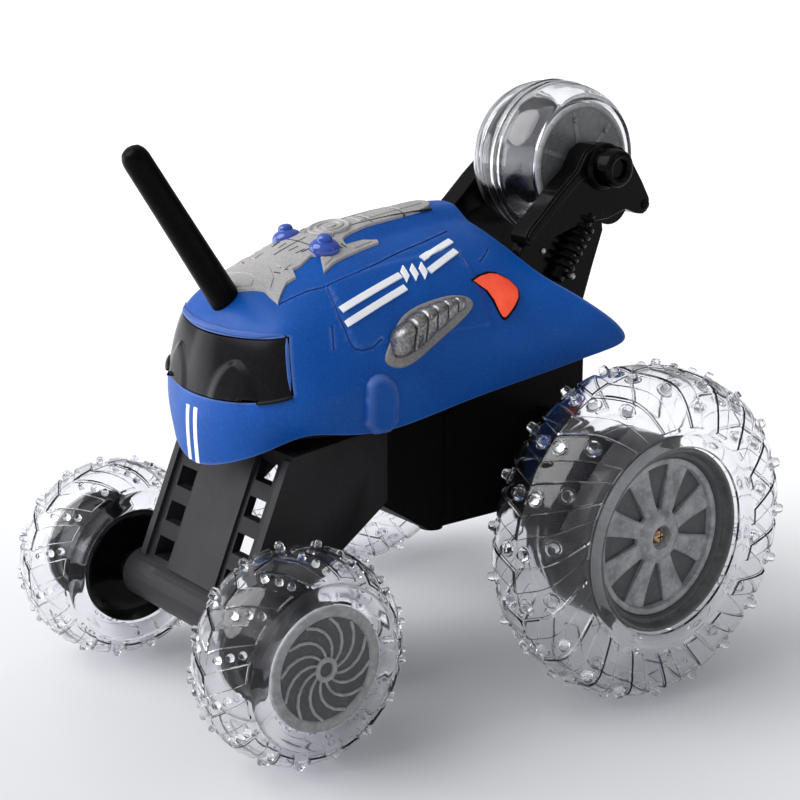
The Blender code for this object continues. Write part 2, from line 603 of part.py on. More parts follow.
def power_switch():
    """A slide switch behind the battery door: the knob sits at one end of its slot."""
    low = TUB_FLOOR_Z + TUB_WALL + GAP
    under = TUB_FLOOR_Z - 1.6
    finish("switch_body", box_mesh("switch_body", (-9.0, REAR_Y - 8.5, low + 1.2),
                                   (9.0, REAR_Y + 0.5, low + 6.2)), STEEL)
    knob = finish("switch_knob", box_mesh("knob", (-4.8, REAR_Y - 5.9, under),
                                          (0.2, REAR_Y - 2.1, low + 0.9)), BLACK)
    for rib in range(3):
        x = -4.1 + 1.5 * rib
        join(knob, box_mesh("knob_rib_%d" % rib, (x, REAR_Y - 5.6, under - 0.5),
                            (x + 0.6, REAR_Y - 2.4, under + 0.2)))
    hang(knob, (0.0, REAR_Y - 4.0, TUB_FLOOR_Z))


# ---------------------------------------------------------------- arm

def arm_fork():
    """Two side plates with round bosses, lower brackets, dummy shocks and one cross bridge."""
    fy, fz = FIFTH_Y, FIFTH_Z

    def rel(points):
        return [(REAR_Y + y, z) for y, z in points]

    plate = rel([(-4.6, 137.6), (-3.4, 143.8), (8.8, 157.1), (17.2, 165.4)])
    plate += arc(fy, fz, 10.8, 145, 28, 6) + rel([(50.0, 152.6)])
    plate += arc(REAR_Y + 47.6, 150.4, 3.0, 10, -100, 4) + rel([(32.3, 145.4), (22.0, 146.0)])
    bracket = rel([(-9.0, 108.9), (-5.4, 135.7), (0.0, 140.0), (20.0, 154.0), (34.7, 143.8), (26.0, 119.0),
                   (22.5, 113.4)])
    low_in, low_out = 16.8, 22.0
    arm = finish("arm_fork", box_mesh("bridge", (-low_out + 1, REAR_Y - 6.5, 113.0),
                                      (low_out - 1, REAR_Y + 18.0, 130.0)), BLACK_GLOSS)
    for side, word in SIDES:
        join(arm, prism_mesh("arm_bracket_" + word, bracket, *sorted((side * low_in, side * low_out))))
        join(arm, prism_mesh("arm_plate_" + word, plate, *sorted((side * ARM_IN, side * ARM_OUT))))
        join(arm, rod_mesh("arm_boss_" + word, BOSS_R, side * (ARM_OUT - 1), side * BOSS_OUT, fy, fz, 20))
        cut(arm, rod_mesh("arm_bore_" + word, FIFTH_AXLE_R + GAP, side * 10, side * (FIFTH_AXLE_HALF + GAP),
                          fy, fz, 16))
        cut(arm, rod_mesh("arm_ring_" + word, 3.9, side * (BOSS_OUT - 1.6), side * (BOSS_OUT + 2),
                          fy, fz, 16))
        shock(arm, side, word)


def shock(arm, side, word):
    """A moulded coil-spring shape on the outside of one bracket."""
    start = Vector((side * 22.5, REAR_Y + 13.0, 127.0))
    stop = Vector((side * 22.5, REAR_Y + 25.0, 147.5))
    span = stop - start
    turn = Vector((0, 0, 1)).rotation_difference(span).to_matrix().to_4x4()
    pieces = [(0.5, span.length + 4.0, 3.2)] + [(step / 4.0, 2.2, 4.8) for step in range(5)]
    for index, (share, depth, radius) in enumerate(pieces):
        bm = bmesh.new()
        bmesh.ops.create_cone(bm, cap_ends=True, segments=10, radius1=radius, radius2=radius, depth=depth)
        bmesh.ops.transform(bm, matrix=Matrix.Translation(start + span * share) @ turn, verts=bm.verts)
        join(arm, to_mesh("shock_%s_%d" % (word, index), bm))


# ---------------------------------------------------------------- body

# Shell cage: each column runs from the skirt up to the ridge, columns run from nose to tail.
# Points are (x, y from the rear axle, z) on the left side.
CAGE = (
    ((0, -119.5, 80), (0, -120.2, 90), (0, -120.2, 101), (0, -119, 106), (0, -117, 117), (0, -113.2, 129),
     (0, -110.8, 131.6), (0, -109, 132.6), (0, -106, 134)),
    ((14, -117.6, 81), (14.5, -118.2, 90.5), (15, -118, 101.5), (14.5, -116.6, 106.6), (13, -114.8, 117.3),
     (11, -111, 129.3), (10, -108.5, 132), (8, -106, 133.3), (0, -101, 136.6)),
    ((27, -111, 85), (28.3, -112, 92), (29, -112, 102.5), (27.6, -111.6, 107.6), (25.4, -110.6, 117.8),
     (23, -107.5, 129), (20.5, -104.5, 132), (15.5, -99.5, 136), (0, -94, 140.2)),
    ((35.5, -102, 91), (37, -103.5, 96.5), (37.4, -104, 105), (35.2, -106.4, 109), (33.4, -105.8, 118.2),
     (29, -104.4, 128.6), (27, -98.5, 132.6), (20, -92, 139), (0, -86, 144.2)),
    ((39.5, -92, 93.5), (41, -93, 98.5), (41.6, -93, 107), (41, -92.8, 111), (38.8, -92, 119.5),
     (34.5, -90.5, 129), (29.5, -88, 134.6), (21.5, -83, 141.8), (0, -77, 147.6)),
    ((42.5, -76, 94.5), (43.5, -76, 99.5), (43.6, -76, 107.5), (43, -76, 112), (40.5, -75.5, 121),
     (36, -74.5, 130.5), (30, -73, 137.6), (20.5, -70, 145), (0, -67, 150)),
    ((44, -58, 97), (44.6, -58, 101.5), (44.4, -58, 109), (43.4, -58, 114), (40.5, -57.5, 123),
     (36, -57, 132), (29.5, -56, 139.6), (19, -54.5, 147), (0, -53, 151.8)),
    ((45.5, -38, 101), (46, -38, 105), (45.5, -38, 111), (44, -38, 116), (40.5, -38, 124),
     (35.5, -38, 133), (28.5, -38, 141.2), (17.5, -38.5, 148.6), (0, -38, 152.8)),
    ((48, -14, 104.5), (48.4, -14, 107.5), (47.2, -15, 112), (44.5, -16, 117), (39.5, -17, 125),
     (34, -18, 133.5), (26.5, -20, 142), (15, -24, 149.8), (0, -27, 153.6)),
    ((49.8, 2, 107.6), (50.2, 2.5, 110.5), (48.6, -1, 115), (45.5, -5, 119.5), (39.6, -8, 126.3),
     (32.8, -10.5, 133.4), (25.2, -14, 141.5), (13.6, -19.5, 149.8), (0, -23.5, 153.5)),
    ((51.6, 16.5, 109.8), (51.9, 19, 112.8), (50.4, 14.5, 118.2), (47, 9, 123), (40.5, 3, 128.3),
     (31.5, -3, 133), (23.5, -8.5, 140.5), (12, -16, 149.5), (0, -20, 153.4)),
)
SHELL_SLOT, WINDOW_SLOT = 0, 1


def shell_surface():
    """The whole smooth outer surface as one mesh, with the windshield's faces in their own slot."""
    bm = bmesh.new()
    rows = len(CAGE[0])
    grid = {}
    for mirror in (1, -1):
        for column, points in enumerate(CAGE):
            for row, (x, y, z) in enumerate(points):
                twin = grid.get((1, column, row)) if x == 0 else None
                grid[mirror, column, row] = twin or bm.verts.new((mirror * x, REAR_Y + y, z))
    columns_in = range(*WINDSHIELD_COLUMNS)
    rows_in = range(*WINDSHIELD_ROWS)
    for mirror in (1, -1):
        for column in range(len(CAGE) - 1):
            for row in range(rows - 1):
                corners = [grid[mirror, column, row], grid[mirror, column + 1, row],
                           grid[mirror, column + 1, row + 1], grid[mirror, column, row + 1]]
                face = bm.faces.new(corners if mirror > 0 else corners[::-1])
                face.smooth = True
                in_window = column in columns_in and row in rows_in
                face.material_index = WINDOW_SLOT if in_window else SHELL_SLOT
    bmesh.ops.scale(bm, vec=(MM, MM, MM), verts=bm.verts)
    mesh = bpy.data.meshes.new("shell_surface")
    bm.to_mesh(mesh)
    bm.free()
    mesh.materials.append(BLUE)
    mesh.materials.append(SMOKE)
    cage = bpy.data.objects.new("shell_cage", mesh)
    TOOLS.objects.link(cage)
    smooth = cage.modifiers.new("smooth", "SUBSURF")
    smooth.levels = SHELL_LEVEL
    smooth.render_levels = SHELL_LEVEL
    graph = bpy.context.evaluated_depsgraph_get()
    surface = bpy.data.meshes.new_from_object(cage.evaluated_get(graph))
    bpy.data.objects.remove(cage)
    return surface


def skin(name, surface, keep, inset, lift, thick, mat):
    """A piece of the shell surface as a plate: kept faces, inset at their edge, lifted and thickened."""
    bm = bmesh.new()
    bm.from_mesh(surface)
    away = [face for face in bm.faces if not keep(face)]
    bmesh.ops.delete(bm, geom=away, context="FACES")
    if inset:
        ring = bmesh.ops.inset_region(bm, faces=bm.faces, thickness=inset * MM, use_boundary=True)["faces"]
        bmesh.ops.delete(bm, geom=ring, context="FACES")
    bm.normal_update()
    if lift:
        for vert in bm.verts:
            vert.co += vert.normal * lift * MM
    mesh = bpy.data.meshes.new(name)
    bm.to_mesh(mesh)
    bm.free()
    obj = finish(name, mesh, mat)
    mesh.shade_smooth()
    mesh.polygons.foreach_set("material_index", [0] * len(mesh.polygons))
    solid = obj.modifiers.new("thickness", "SOLIDIFY")
    solid.thickness = abs(thick) * MM
    solid.offset = -1.0 if thick > 0 else 1.0
    solid.use_even_offset = True
    return obj


def along_normal(name, outline, spot, normal, low, high):
    """A flat outline of (forward, up) points extruded along a surface normal at a spot on the body side."""
    out = Vector(normal).normalized()
    back = Vector((0, 1, 0))
    back = (back - out * back.dot(out)).normalized()
    up = out.cross(back)
    up = up if up.z > 0 else -up
    base = Vector(spot) + out * low
    return slab_mesh(name, [base + back * a + up * b for a, b in outline], out * (high - low))


def scaled(outline, grow):
    """An outline with its points moved outwards from its middle."""
    middle_a = sum(a for a, b in outline) / len(outline)
    middle_b = sum(b for a, b in outline) / len(outline)
    result = []
    for a, b in outline:
        reach = math.hypot(a - middle_a, b - middle_b)
        factor = (reach + grow) / reach
        result.append((middle_a + (a - middle_a) * factor, middle_b + (b - middle_b) * factor))
    return result


LAMP_SPOT = (37.2, REAR_Y - 27.0, 130.3)
LAMP_NORMAL = (0.86, 0.06, 0.5)
LAMP_OUTLINE = ((-9.0, 4.5), (-4.0, 7.0), (3.0, 6.5), (8.0, 2.5), (9.0, -2.0), (3.0, -9.0), (1.5, -9.0),
                (-2.5, -2.5))
EXHAUST_SPOT = (41.0, REAR_Y - 55.0, 121.5)
EXHAUST_NORMAL = (0.9, 0.02, 0.43)
EXHAUST_OUTLINE = ((-17.0, -7.0), (-19.0, -3.0), (-18.0, 2.0), (-12.0, 5.5), (2.0, 8.8), (14.0, 9.8),
                   (18.5, 9.0), (18.0, 6.0), (10.0, 2.0), (-8.0, -6.0), (-13.0, -8.0))
EXHAUST_RIBS = 6
ROOF_OUTLINE = ((0, -105), (10, -104), (17, -97), (15, -94), (20, -90), (16, -87), (20, -81), (13, -79),
                (20, -71), (18, -62), (12, -66), (9, -60), (9, -40), (6, -26), (0, -26))
BEACON_X, BEACON_Y, BEACON_Z = 11.5, REAR_Y - 76.0, 145.5
BEACON_R = 4.4
BEACON_TILT = (14.0, 14.0)      # degrees forwards and outwards
BEACON_PROFILE = [
    (0, 0), (BEACON_R, 0), (BEACON_R, 1.2), (3.7, 2.6), (2.7, 3.3), (2.5, 4.1), (1.8, 5.4), (0, 6.0),
]
ANTENNA_BASE = Vector((0.0, REAR_Y - 105.0, 131.0))
ANTENNA_TIP = Vector((0.0, REAR_Y - 138.5, 183.0))


def sided(spot, side):
    return (spot[0] * side, spot[1], spot[2])


def body():
    surface = shell_surface()
    shell = skin("body_shell", surface, lambda face: face.material_index == SHELL_SLOT, 0.0, 0.0,
                 SHELL_THICK, BLUE)
    skin("windshield", surface, lambda face: face.material_index == WINDOW_SLOT, 2 * GAP, 0.0,
         SHELL_THICK, SMOKE)

    def on_roof(face):
        middle = face.calc_center_median() / MM
        return abs(middle.x) < 24.0 and middle.y < REAR_Y - 22.0 and middle.z > 132.0

    roof = skin("roof_panel", surface, on_roof, 0.0, 0.35, -0.9, SILVER)
    outline = [(x, REAR_Y + y) for x, y in ROOF_OUTLINE]
    outline += [(-x, y) for x, y in reversed(outline) if x > 0]
    boolean(roof, slab_mesh("roof_outline", [(x, y, 120.0) for x, y in outline], (0, 0, 50.0)), "INTERSECT")
    aim = Vector((0, 0, 1)).rotation_difference(ANTENNA_TIP - ANTENNA_BASE)
    length = (ANTENNA_TIP - ANTENNA_BASE).length
    for target in (shell, roof):
        bm = bmesh.new()
        bmesh.ops.create_cone(bm, cap_ends=True, segments=24, radius1=5.6, radius2=5.6, depth=26.0)
        place = Matrix.Translation(ANTENNA_BASE) @ aim.to_matrix().to_4x4()
        bmesh.ops.transform(bm, matrix=place, verts=bm.verts)
        cut(target, to_mesh("antenna_hole", bm))
    antenna = turned("antenna", [(0, -4.0), (5.2, -4.0), (5.0, 1.0), (4.3, length - 3.5), (3.6, length - 1.2),
                                 (2.0, length - 0.2), (0, length)], LEFT, 0, 0, 0, RUBBER, segments=20)
    antenna.rotation_euler = aim.to_euler()
    antenna.location = ANTENNA_BASE * MM
    for side, word in SIDES:
        beacon = turned("beacon_" + word, BEACON_PROFILE, LEFT, 0, 0, 0, BLUE, segments=16)
        forward, outward = BEACON_TILT
        beacon.rotation_euler = (math.radians(forward), math.radians(outward * side), 0)
        beacon.location = (side * BEACON_X * MM, BEACON_Y * MM, BEACON_Z * MM)
        cut(roof, post_mesh("beacon_hole_" + word, BEACON_R + 1.0, BEACON_Z - 8.0, BEACON_Z + 8.0,
                           side * BEACON_X, BEACON_Y))
        normal = sided(LAMP_NORMAL, side)
        spot = sided(LAMP_SPOT, side)
        cut(shell, along_normal("lamp_hole_" + word, scaled(LAMP_OUTLINE, GAP + 0.1), spot, normal,
                                -7.0, 7.0))
        finish("lamp_" + word, along_normal("lamp", LAMP_OUTLINE, spot, normal, -2.5, 1.6), RED_LENS)
        normal = sided(EXHAUST_NORMAL, side)
        spot = sided(EXHAUST_SPOT, side)
        cut(shell, along_normal("exhaust_hole_" + word, scaled(EXHAUST_OUTLINE, GAP + 0.1), spot, normal,
                                -8.0, 8.0))
        exhaust = finish("exhaust_" + word, along_normal("exhaust", EXHAUST_OUTLINE, spot, normal,
                                                         -2.6, 0.6), SILVER)
        for rib in range(EXHAUST_RIBS):
            start = -14.5 + 4.9 * rib
            tall = 9.0 - 1.1 * rib
            middle = -0.5 + 1.45 * rib
            low, high = middle - tall / 2, middle + tall / 2
            block = ((start, low), (start, high), (start + 4.2, high + 0.6), (start + 4.2, low + 0.9))
            join(exhaust, along_normal("exhaust_rib_%s_%d" % (word, rib), block, spot, normal,
                                       -1.0, 4.6 - 0.35 * rib))


def build_car():
    for side, word in SIDES:
        rear_wheel(side, word)
        front_wheel(side, word)
        gear_train(side, word)
        gearbox_case(side, word)
    fifth_wheel()
    chassis_tub()
    chassis_deck()
    front_leg()
    front_axle()
    battery()
    battery_door()
    electronics()
    power_switch()
    arm_fork()
    body()


build_car()
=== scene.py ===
"""Looks of the radio-controlled stunt car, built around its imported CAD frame.

Builders work in millimetres; MM turns them into metres. The nose points to -Y, the left is +X.
Outlines of turned parts are (radius, distance from the car's middle), and y values on the body are
counted from the rear axle.
"""
from math import cos, hypot, pi, radians, sin, sqrt

import bmesh
import bpy
from mathutils import Matrix, Vector
from mathutils.bvhtree import BVHTree


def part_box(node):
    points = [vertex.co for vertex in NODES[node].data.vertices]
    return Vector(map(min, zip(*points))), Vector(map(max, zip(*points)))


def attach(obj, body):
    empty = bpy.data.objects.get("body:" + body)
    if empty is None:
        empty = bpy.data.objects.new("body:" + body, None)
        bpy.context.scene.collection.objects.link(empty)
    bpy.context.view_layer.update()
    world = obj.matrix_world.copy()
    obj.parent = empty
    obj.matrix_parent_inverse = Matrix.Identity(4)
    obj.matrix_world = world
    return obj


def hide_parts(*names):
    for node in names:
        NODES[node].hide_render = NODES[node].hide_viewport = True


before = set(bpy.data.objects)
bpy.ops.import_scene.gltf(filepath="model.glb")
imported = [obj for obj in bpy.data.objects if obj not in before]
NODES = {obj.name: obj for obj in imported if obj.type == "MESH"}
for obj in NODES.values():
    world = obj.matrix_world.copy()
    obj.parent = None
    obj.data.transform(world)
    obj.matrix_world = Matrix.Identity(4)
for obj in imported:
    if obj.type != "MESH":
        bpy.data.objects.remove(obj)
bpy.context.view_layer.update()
MM = 0.001
LEFT, RIGHT = 1, -1
SIDES = ((LEFT, "left"), (RIGHT, "right"))
CAR = "car"


def middle_of(node):
    """The middle of a CAD node's box, in millimetres."""
    low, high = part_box(node)
    return (low + high) / 2 / MM


REAR_Y = middle_of("rear_tyre_left").y
FIFTH = middle_of("fifth_tyre")


# ---------------------------------------------------------------- shader helpers


class Net:
    """A material's node tree with short calls for adding and linking nodes."""

    def __init__(self, name):
        self.mat = bpy.data.materials.new(name)
        self.mat.use_nodes = True
        self.tree = self.mat.node_tree
        self.bsdf = self.tree.nodes["Principled BSDF"]
        self.output = self.tree.nodes["Material Output"]

    def add(self, kind, links=(), **values):
        node = self.tree.nodes.new(kind)
        for key, value in values.items():
            setattr(node, key, value)
        for source, socket in links:
            self.tree.links.new(source, node.inputs[socket])
        return node

    def link(self, source, target):
        self.tree.links.new(source, target)

    def place(self):
        return self.add("ShaderNodeTexCoord").outputs["Object"]

    def noise(self, scale, detail=2, vector=None):
        node = self.add("ShaderNodeTexNoise", [(vector or self.place(), "Vector")])
        node.inputs["Scale"].default_value = scale
        node.inputs["Detail"].default_value = detail
        return node.outputs["Fac"]

    def span(self, value, low, high, start=0.3, stop=0.7):
        node = self.add("ShaderNodeMapRange", [(value, "Value")])
        node.inputs["From Min"].default_value = start
        node.inputs["From Max"].default_value = stop
        node.inputs["To Min"].default_value = low
        node.inputs["To Max"].default_value = high
        return node.outputs["Result"]

    def mix(self, fac, first, second):
        node = self.add("ShaderNodeMix", [(fac, 0)], data_type="RGBA")
        for slot, value in ((6, first), (7, second)):
            if isinstance(value, tuple):
                node.inputs[slot].default_value = (*value, 1)
            else:
                self.link(value, node.inputs[slot])
        return node.outputs[2]

    def bump(self, height, distance, strength=1):
        node = self.add("ShaderNodeBump", [(height, "Height")])
        node.inputs["Distance"].default_value = distance
        node.inputs["Strength"].default_value = strength
        return node.outputs["Normal"]

    def surface(self, colour, rough, normal):
        for source, socket in ((colour, "Base Color"), (rough, "Roughness"), (normal, "Normal")):
            self.link(source, self.bsdf.inputs[socket])

    def fixed(self, **values):
        for key, value in values.items():
            self.bsdf.inputs[key.replace("_", " ")].default_value = value


def moulded(name, dark, light, rough, grain=1600, depth=0.00003, mottle=45, edge=0.25, edge_pallor=0.5,
            **fixed):
    """Moulded plastic: mottled colour, fine moulded grain, paler sharp outer edges and uneven
    gloss.
    """
    net = Net(name)
    fine = net.noise(grain, 3)
    broad = net.noise(mottle, 4)
    blend = net.span(broad, 0, 1, 0.35, 0.65)
    colour = net.mix(blend, dark, light)
    speck = net.span(net.noise(grain * 0.55, 1), 0, 0.35, 0.5, 0.75)
    colour = net.mix(speck, colour, tuple(min(1, c * 1.5 + 0.004) for c in light))
    pointed = net.add("ShaderNodeNewGeometry").outputs["Pointiness"]
    rim = net.span(pointed, 0, edge, 0.505, 0.56)
    colour = net.mix(rim, colour, tuple(c + (1 - c) * edge_pallor * 0.35 for c in light))
    gloss = net.span(net.noise(mottle * 3, 3), rough * 0.85, rough * 1.15)
    net.surface(colour, gloss, net.bump(fine, depth))
    net.fixed(**fixed)
    return net.mat


def metal(name, dark, light, rough, grain=900, depth=0.00002, **fixed):
    """Bare or silver-painted metal with fine flecks and uneven polish."""
    net = Net(name)
    blend = net.span(net.noise(grain, 2), 0, 1, 0.35, 0.65)
    colour = net.mix(blend, dark, light)
    cloud = net.span(net.noise(60, 4), 0, 0.45, 0.4, 0.7)
    colour = net.mix(cloud, colour, tuple(c * 0.7 for c in dark))
    gloss = net.span(net.noise(200, 3), rough * 0.75, rough * 1.3)
    net.surface(colour, gloss, net.bump(net.noise(grain * 0.7), depth))
    net.fixed(**{"Metallic": 0.85, **fixed})
    return net.mat


def clear(name, tint, edge_tint, through, rough=0.03, ripple=0.00002, ior=1.42):
    """Clear moulded plastic that refracts, with faint flow ripples; lamps shine through it."""
    net = Net(name)
    cloud = net.noise(70, 3)
    colour = net.mix(net.span(cloud, 0, 1), tint, edge_tint)
    gloss = net.span(net.noise(160, 2), rough * 0.6, rough * 1.6)
    net.surface(colour, gloss, net.bump(net.noise(260, 2), ripple))
    net.fixed(Transmission_Weight=1, IOR=ior)
    lamps = net.add("ShaderNodeLightPath").outputs["Is Shadow Ray"]
    open_side = net.add("ShaderNodeBsdfTransparent")
    open_side.inputs["Color"].default_value = (*through, 1)
    mixer = net.add("ShaderNodeMixShader", [(lamps, 0), (net.bsdf.outputs[0], 1),
                                            (open_side.outputs[0], 2)])
    net.link(mixer.outputs[0], net.output.inputs["Surface"])
    return net.mat


def lit_lens(name):
    """Red lens lit from inside: hottest in its middle, darker towards its rim."""
    net = Net(name)
    facing = net.add("ShaderNodeLayerWeight").outputs["Facing"]
    cloud = net.noise(160, 3)
    glow = net.mix(net.span(cloud, 0, 1), (0.86, 0.085, 0.035), (0.95, 0.125, 0.06))
    shade = net.mix(net.span(facing, 0, 1, 0.3, 0.9), glow, (0.42, 0.03, 0.012))
    net.link(shade, net.bsdf.inputs["Emission Color"])
    colour = net.mix(net.span(cloud, 0, 1), (0.16, 0.008, 0.004), (0.22, 0.014, 0.007))
    gloss = net.span(net.noise(300, 2), 0.14, 0.24)
    net.surface(colour, gloss, net.bump(net.noise(500, 2), 0.00005))
    net.fixed(Emission_Strength=0.78, IOR=1.3)
    return net.mat


BLUE = moulded("blue_plastic", (0.0003, 0.062, 0.31), (0.0006, 0.078, 0.37), 0.4, grain=2200,
               depth=0.000035, edge=0.35, IOR=1.29)
BLUE_GLOSS = moulded("blue_gloss", (0.003, 0.04, 0.3), (0.006, 0.055, 0.38), 0.1, grain=900,
                     depth=0.00001, Coat_Weight=0.6, Coat_Roughness=0.04, IOR=1.35)
WHITE = moulded("white_stripe", (0.86, 0.89, 0.95), (0.94, 0.95, 0.98), 0.4, grain=1800,
                depth=0.00002, edge=0)
SMOKE = moulded("smoke_window", (0.0045, 0.0041, 0.0052), (0.007, 0.0063, 0.0078), 0.2, grain=1500,
                depth=0.00002, edge=0.03, IOR=1.18)
BLACK = moulded("black_plastic", (0.001, 0.0009, 0.001), (0.002, 0.0018, 0.002), 0.45, grain=1400,
                edge=0.02, IOR=1.12)
LEG_BLACK = moulded("leg_plastic", (0.005, 0.0043, 0.0054), (0.01, 0.0088, 0.0108), 0.34,
                    grain=1000, edge=0.1, IOR=1.18)
PITCH = moulded("pitch_black", (0.001, 0.001, 0.0012), (0.002, 0.002, 0.0023), 0.5, edge=0.02,
                IOR=1.15)
GLOSS_BLACK = moulded("gloss_black", (0.0016, 0.0015, 0.0018), (0.003, 0.0028, 0.0034), 0.11,
                      grain=500, depth=0.000002, edge=0.03, IOR=1.25)
ARM_BLACK = moulded("arm_plastic", (0.0004, 0.0004, 0.0004), (0.001, 0.0009, 0.001), 0.17,
                    grain=900, depth=0.00001, edge=0.02, IOR=1.15)
RUBBER = moulded("antenna_rubber", (0.0006, 0.0005, 0.0006), (0.0012, 0.0011, 0.0012), 0.34,
                 grain=1100, depth=0.00003, edge=0, IOR=1.15)
SILVER = metal("silver_paint", (0.15, 0.148, 0.148), (0.36, 0.352, 0.352), 0.3, 1300, 0.00005,
               Metallic=0.8)
SURROUND = metal("surround_grey", (0.2, 0.195, 0.19), (0.3, 0.295, 0.29), 0.5, 1400, Metallic=0.1)
PANEL = metal("panel_grey", (0.36, 0.35, 0.35), (0.46, 0.445, 0.44), 0.5, 1400, Metallic=0.15)
PANEL_DARK = metal("panel_dark", (0.05, 0.05, 0.055), (0.09, 0.09, 0.09), 0.45)
LENS = lit_lens("red_lens")
TYRE = clear("clear_tyre", (0.94, 0.942, 0.968), (0.975, 0.975, 0.992), (0.86, 0.86, 0.88), 0.055,
             ior=1.33)
TYRE_SOFT = clear("clear_tyre_soft", (0.9, 0.905, 0.93), (0.955, 0.955, 0.975), (0.8, 0.8, 0.83),
                  0.05)
GREY = moulded("rim_grey", (0.19, 0.195, 0.205), (0.36, 0.365, 0.38), 0.36, grain=1200,
               depth=0.00002, mottle=190, edge=0.12, Specular_IOR_Level=0.3)
GREY_MID = moulded("rim_mid", (0.058, 0.061, 0.06), (0.095, 0.098, 0.097), 0.36, grain=1200,
                   depth=0.00002, mottle=200, edge=0.15, Specular_IOR_Level=0.3)
GREY_DARK = moulded("rim_dark", (0.078, 0.08, 0.084), (0.095, 0.097, 0.101), 0.42, grain=1200,
                    depth=0.00002, edge=0.05, Specular_IOR_Level=0.2)
GREY_PALE = moulded("rim_pale", (0.24, 0.245, 0.25), (0.33, 0.335, 0.34), 0.36, grain=1200,
                    depth=0.00002, mottle=300, edge=0.1, Specular_IOR_Level=0.3)
DISC_GREY = moulded("disc_grey", (0.105, 0.108, 0.112), (0.15, 0.154, 0.158), 0.3, grain=900,
                    depth=0.00001, mottle=90, edge=0.3, Specular_IOR_Level=0.4)
DRUM_BLACK = moulded("drum_black", (0.006, 0.0055, 0.0075), (0.016, 0.014, 0.02), 0.22, grain=500,
                     depth=0.00001, mottle=120, edge=0.02, Coat_Weight=0.6, Coat_Roughness=0.12,
                     Specular_IOR_Level=0.5)
STEEL = metal("steel", (0.35, 0.35, 0.36), (0.5, 0.5, 0.52), 0.28)
BRASS = metal("brass", (0.4, 0.24, 0.14), (0.58, 0.38, 0.24), 0.25)
NICKEL = metal("nickel", (0.5, 0.48, 0.42), (0.62, 0.6, 0.55), 0.2)
NYLON = moulded("gear_nylon", (0.55, 0.54, 0.48), (0.68, 0.67, 0.6), 0.4)
BOARD = moulded("circuit_green", (0.01, 0.1, 0.035), (0.018, 0.15, 0.055), 0.35, mottle=220)
WRAP = moulded("cell_wrap", (0.03, 0.035, 0.04), (0.05, 0.055, 0.065), 0.3, mottle=120)


# ---------------------------------------------------------------- mesh helpers


def show(name, bm):
    """Puts a bmesh in millimetres into the scene, as an object in metres."""
    bmesh.ops.scale(bm, vec=(MM, MM, MM), verts=bm.verts)
    mesh = bpy.data.meshes.new(name)
    bm.to_mesh(mesh)
    bm.free()
    obj = bpy.data.objects.new(name, mesh)
    bpy.context.scene.collection.objects.link(obj)
    return obj


def baked(obj):
    """A copy of an object's mesh with its modifiers applied."""
    bpy.context.view_layer.update()
    graph = bpy.context.evaluated_depsgraph_get()
    return bpy.data.meshes.new_from_object(obj.evaluated_get(graph))


def discard(obj):
    mesh = obj.data
    bpy.data.objects.remove(obj)
    bpy.data.meshes.remove(mesh)


def piece(name, bm, mats, body=CAR, stands_for=(), crease=32):
    """Turns a bmesh in millimetres into a named piece that rides on a body."""
    obj = show(name, bm)
    for mat in mats:
        obj.data.materials.append(mat)
    obj.data.shade_smooth()
    obj.data.set_sharp_from_angle(angle=radians(crease))
    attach(obj, body)
    if stands_for:
        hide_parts(*stands_for)
    return obj


def rounded(obj, width, segments=2, angle=32):
    """A bevel on a piece's hard edges."""
    bevel = obj.modifiers.new("edges", "BEVEL")
    bevel.width = width * MM
    bevel.segments = segments
    bevel.limit_method = "ANGLE"
    bevel.angle_limit = radians(angle)
    bevel.harden_normals = True


def carve(target, bm):
    """Cuts a bmesh in millimetres out of a piece."""
    tool = show("cutter", bm)
    modifier = target.modifiers.new("cut", "BOOLEAN")
    modifier.object = tool
    modifier.solver = "EXACT"
    modifier.use_self = True
    old, target.data = target.data, baked(target)
    target.modifiers.clear()
    bpy.data.meshes.remove(old)
    discard(tool)


def finished(bm, faces, mat=0):
    """Gives new faces their material and outward normals."""
    for face in faces:
        face.material_index = mat
    bmesh.ops.recalc_face_normals(bm, faces=faces)
    return faces


def aimed(centre, out):
    """A matrix that stands a turned part on centre, with its axis along out."""
    turn = Vector((1, 0, 0)).rotation_difference(out).to_matrix().to_4x4()
    return Matrix.Translation(centre) @ turn


def across_x(reach, turn):
    """A vector square to the X axis."""
    return Vector((0, reach * cos(turn), reach * sin(turn)))


def reach_of(face, axis):
    """How far a face's middle lies from an X axis."""
    away = face.calc_center_median() - axis
    return hypot(away.y, away.z)


def lathe(bm, profile, centre, side=LEFT, segments=96, mat=0):
    """A closed (radius, along) outline turned about an X axis; along grows outwards by side.

    centre is a point on the axis, or a matrix that places the turned part.
    """
    place = centre if isinstance(centre, Matrix) else Matrix.Translation(centre)
    rings = []
    for radius, along in profile:
        turns = [2 * pi * step / segments for step in range(segments if radius else 1)]
        rings.append([bm.verts.new(place @ (Vector((side * along, 0, 0)) + across_x(radius, turn)))
                      for turn in turns])
    made = []
    for ring, after in zip(rings, rings[1:] + rings[:1]):
        if len(ring) == len(after) == 1:
            continue
        for step in range(segments):
            follow = (step + 1) % segments
            corners = (ring[step % len(ring)], ring[follow % len(ring)],
                       after[follow % len(after)], after[step % len(after)])
            made.append(bm.faces.new(list(dict.fromkeys(corners))))
    return finished(bm, made, mat)


def slab(bm, corners, push):
    """A flat face of corner points pushed along a vector into a solid."""
    face = bm.faces.new([bm.verts.new(corner) for corner in corners])
    face.normal_update()
    grown = bmesh.ops.extrude_face_region(bm, geom=[face])["geom"]
    moved = [item for item in grown if isinstance(item, bmesh.types.BMVert)]
    bmesh.ops.translate(bm, vec=push, verts=moved)
    return finished(bm, list({item for vert in moved for item in vert.link_faces} | {face}))


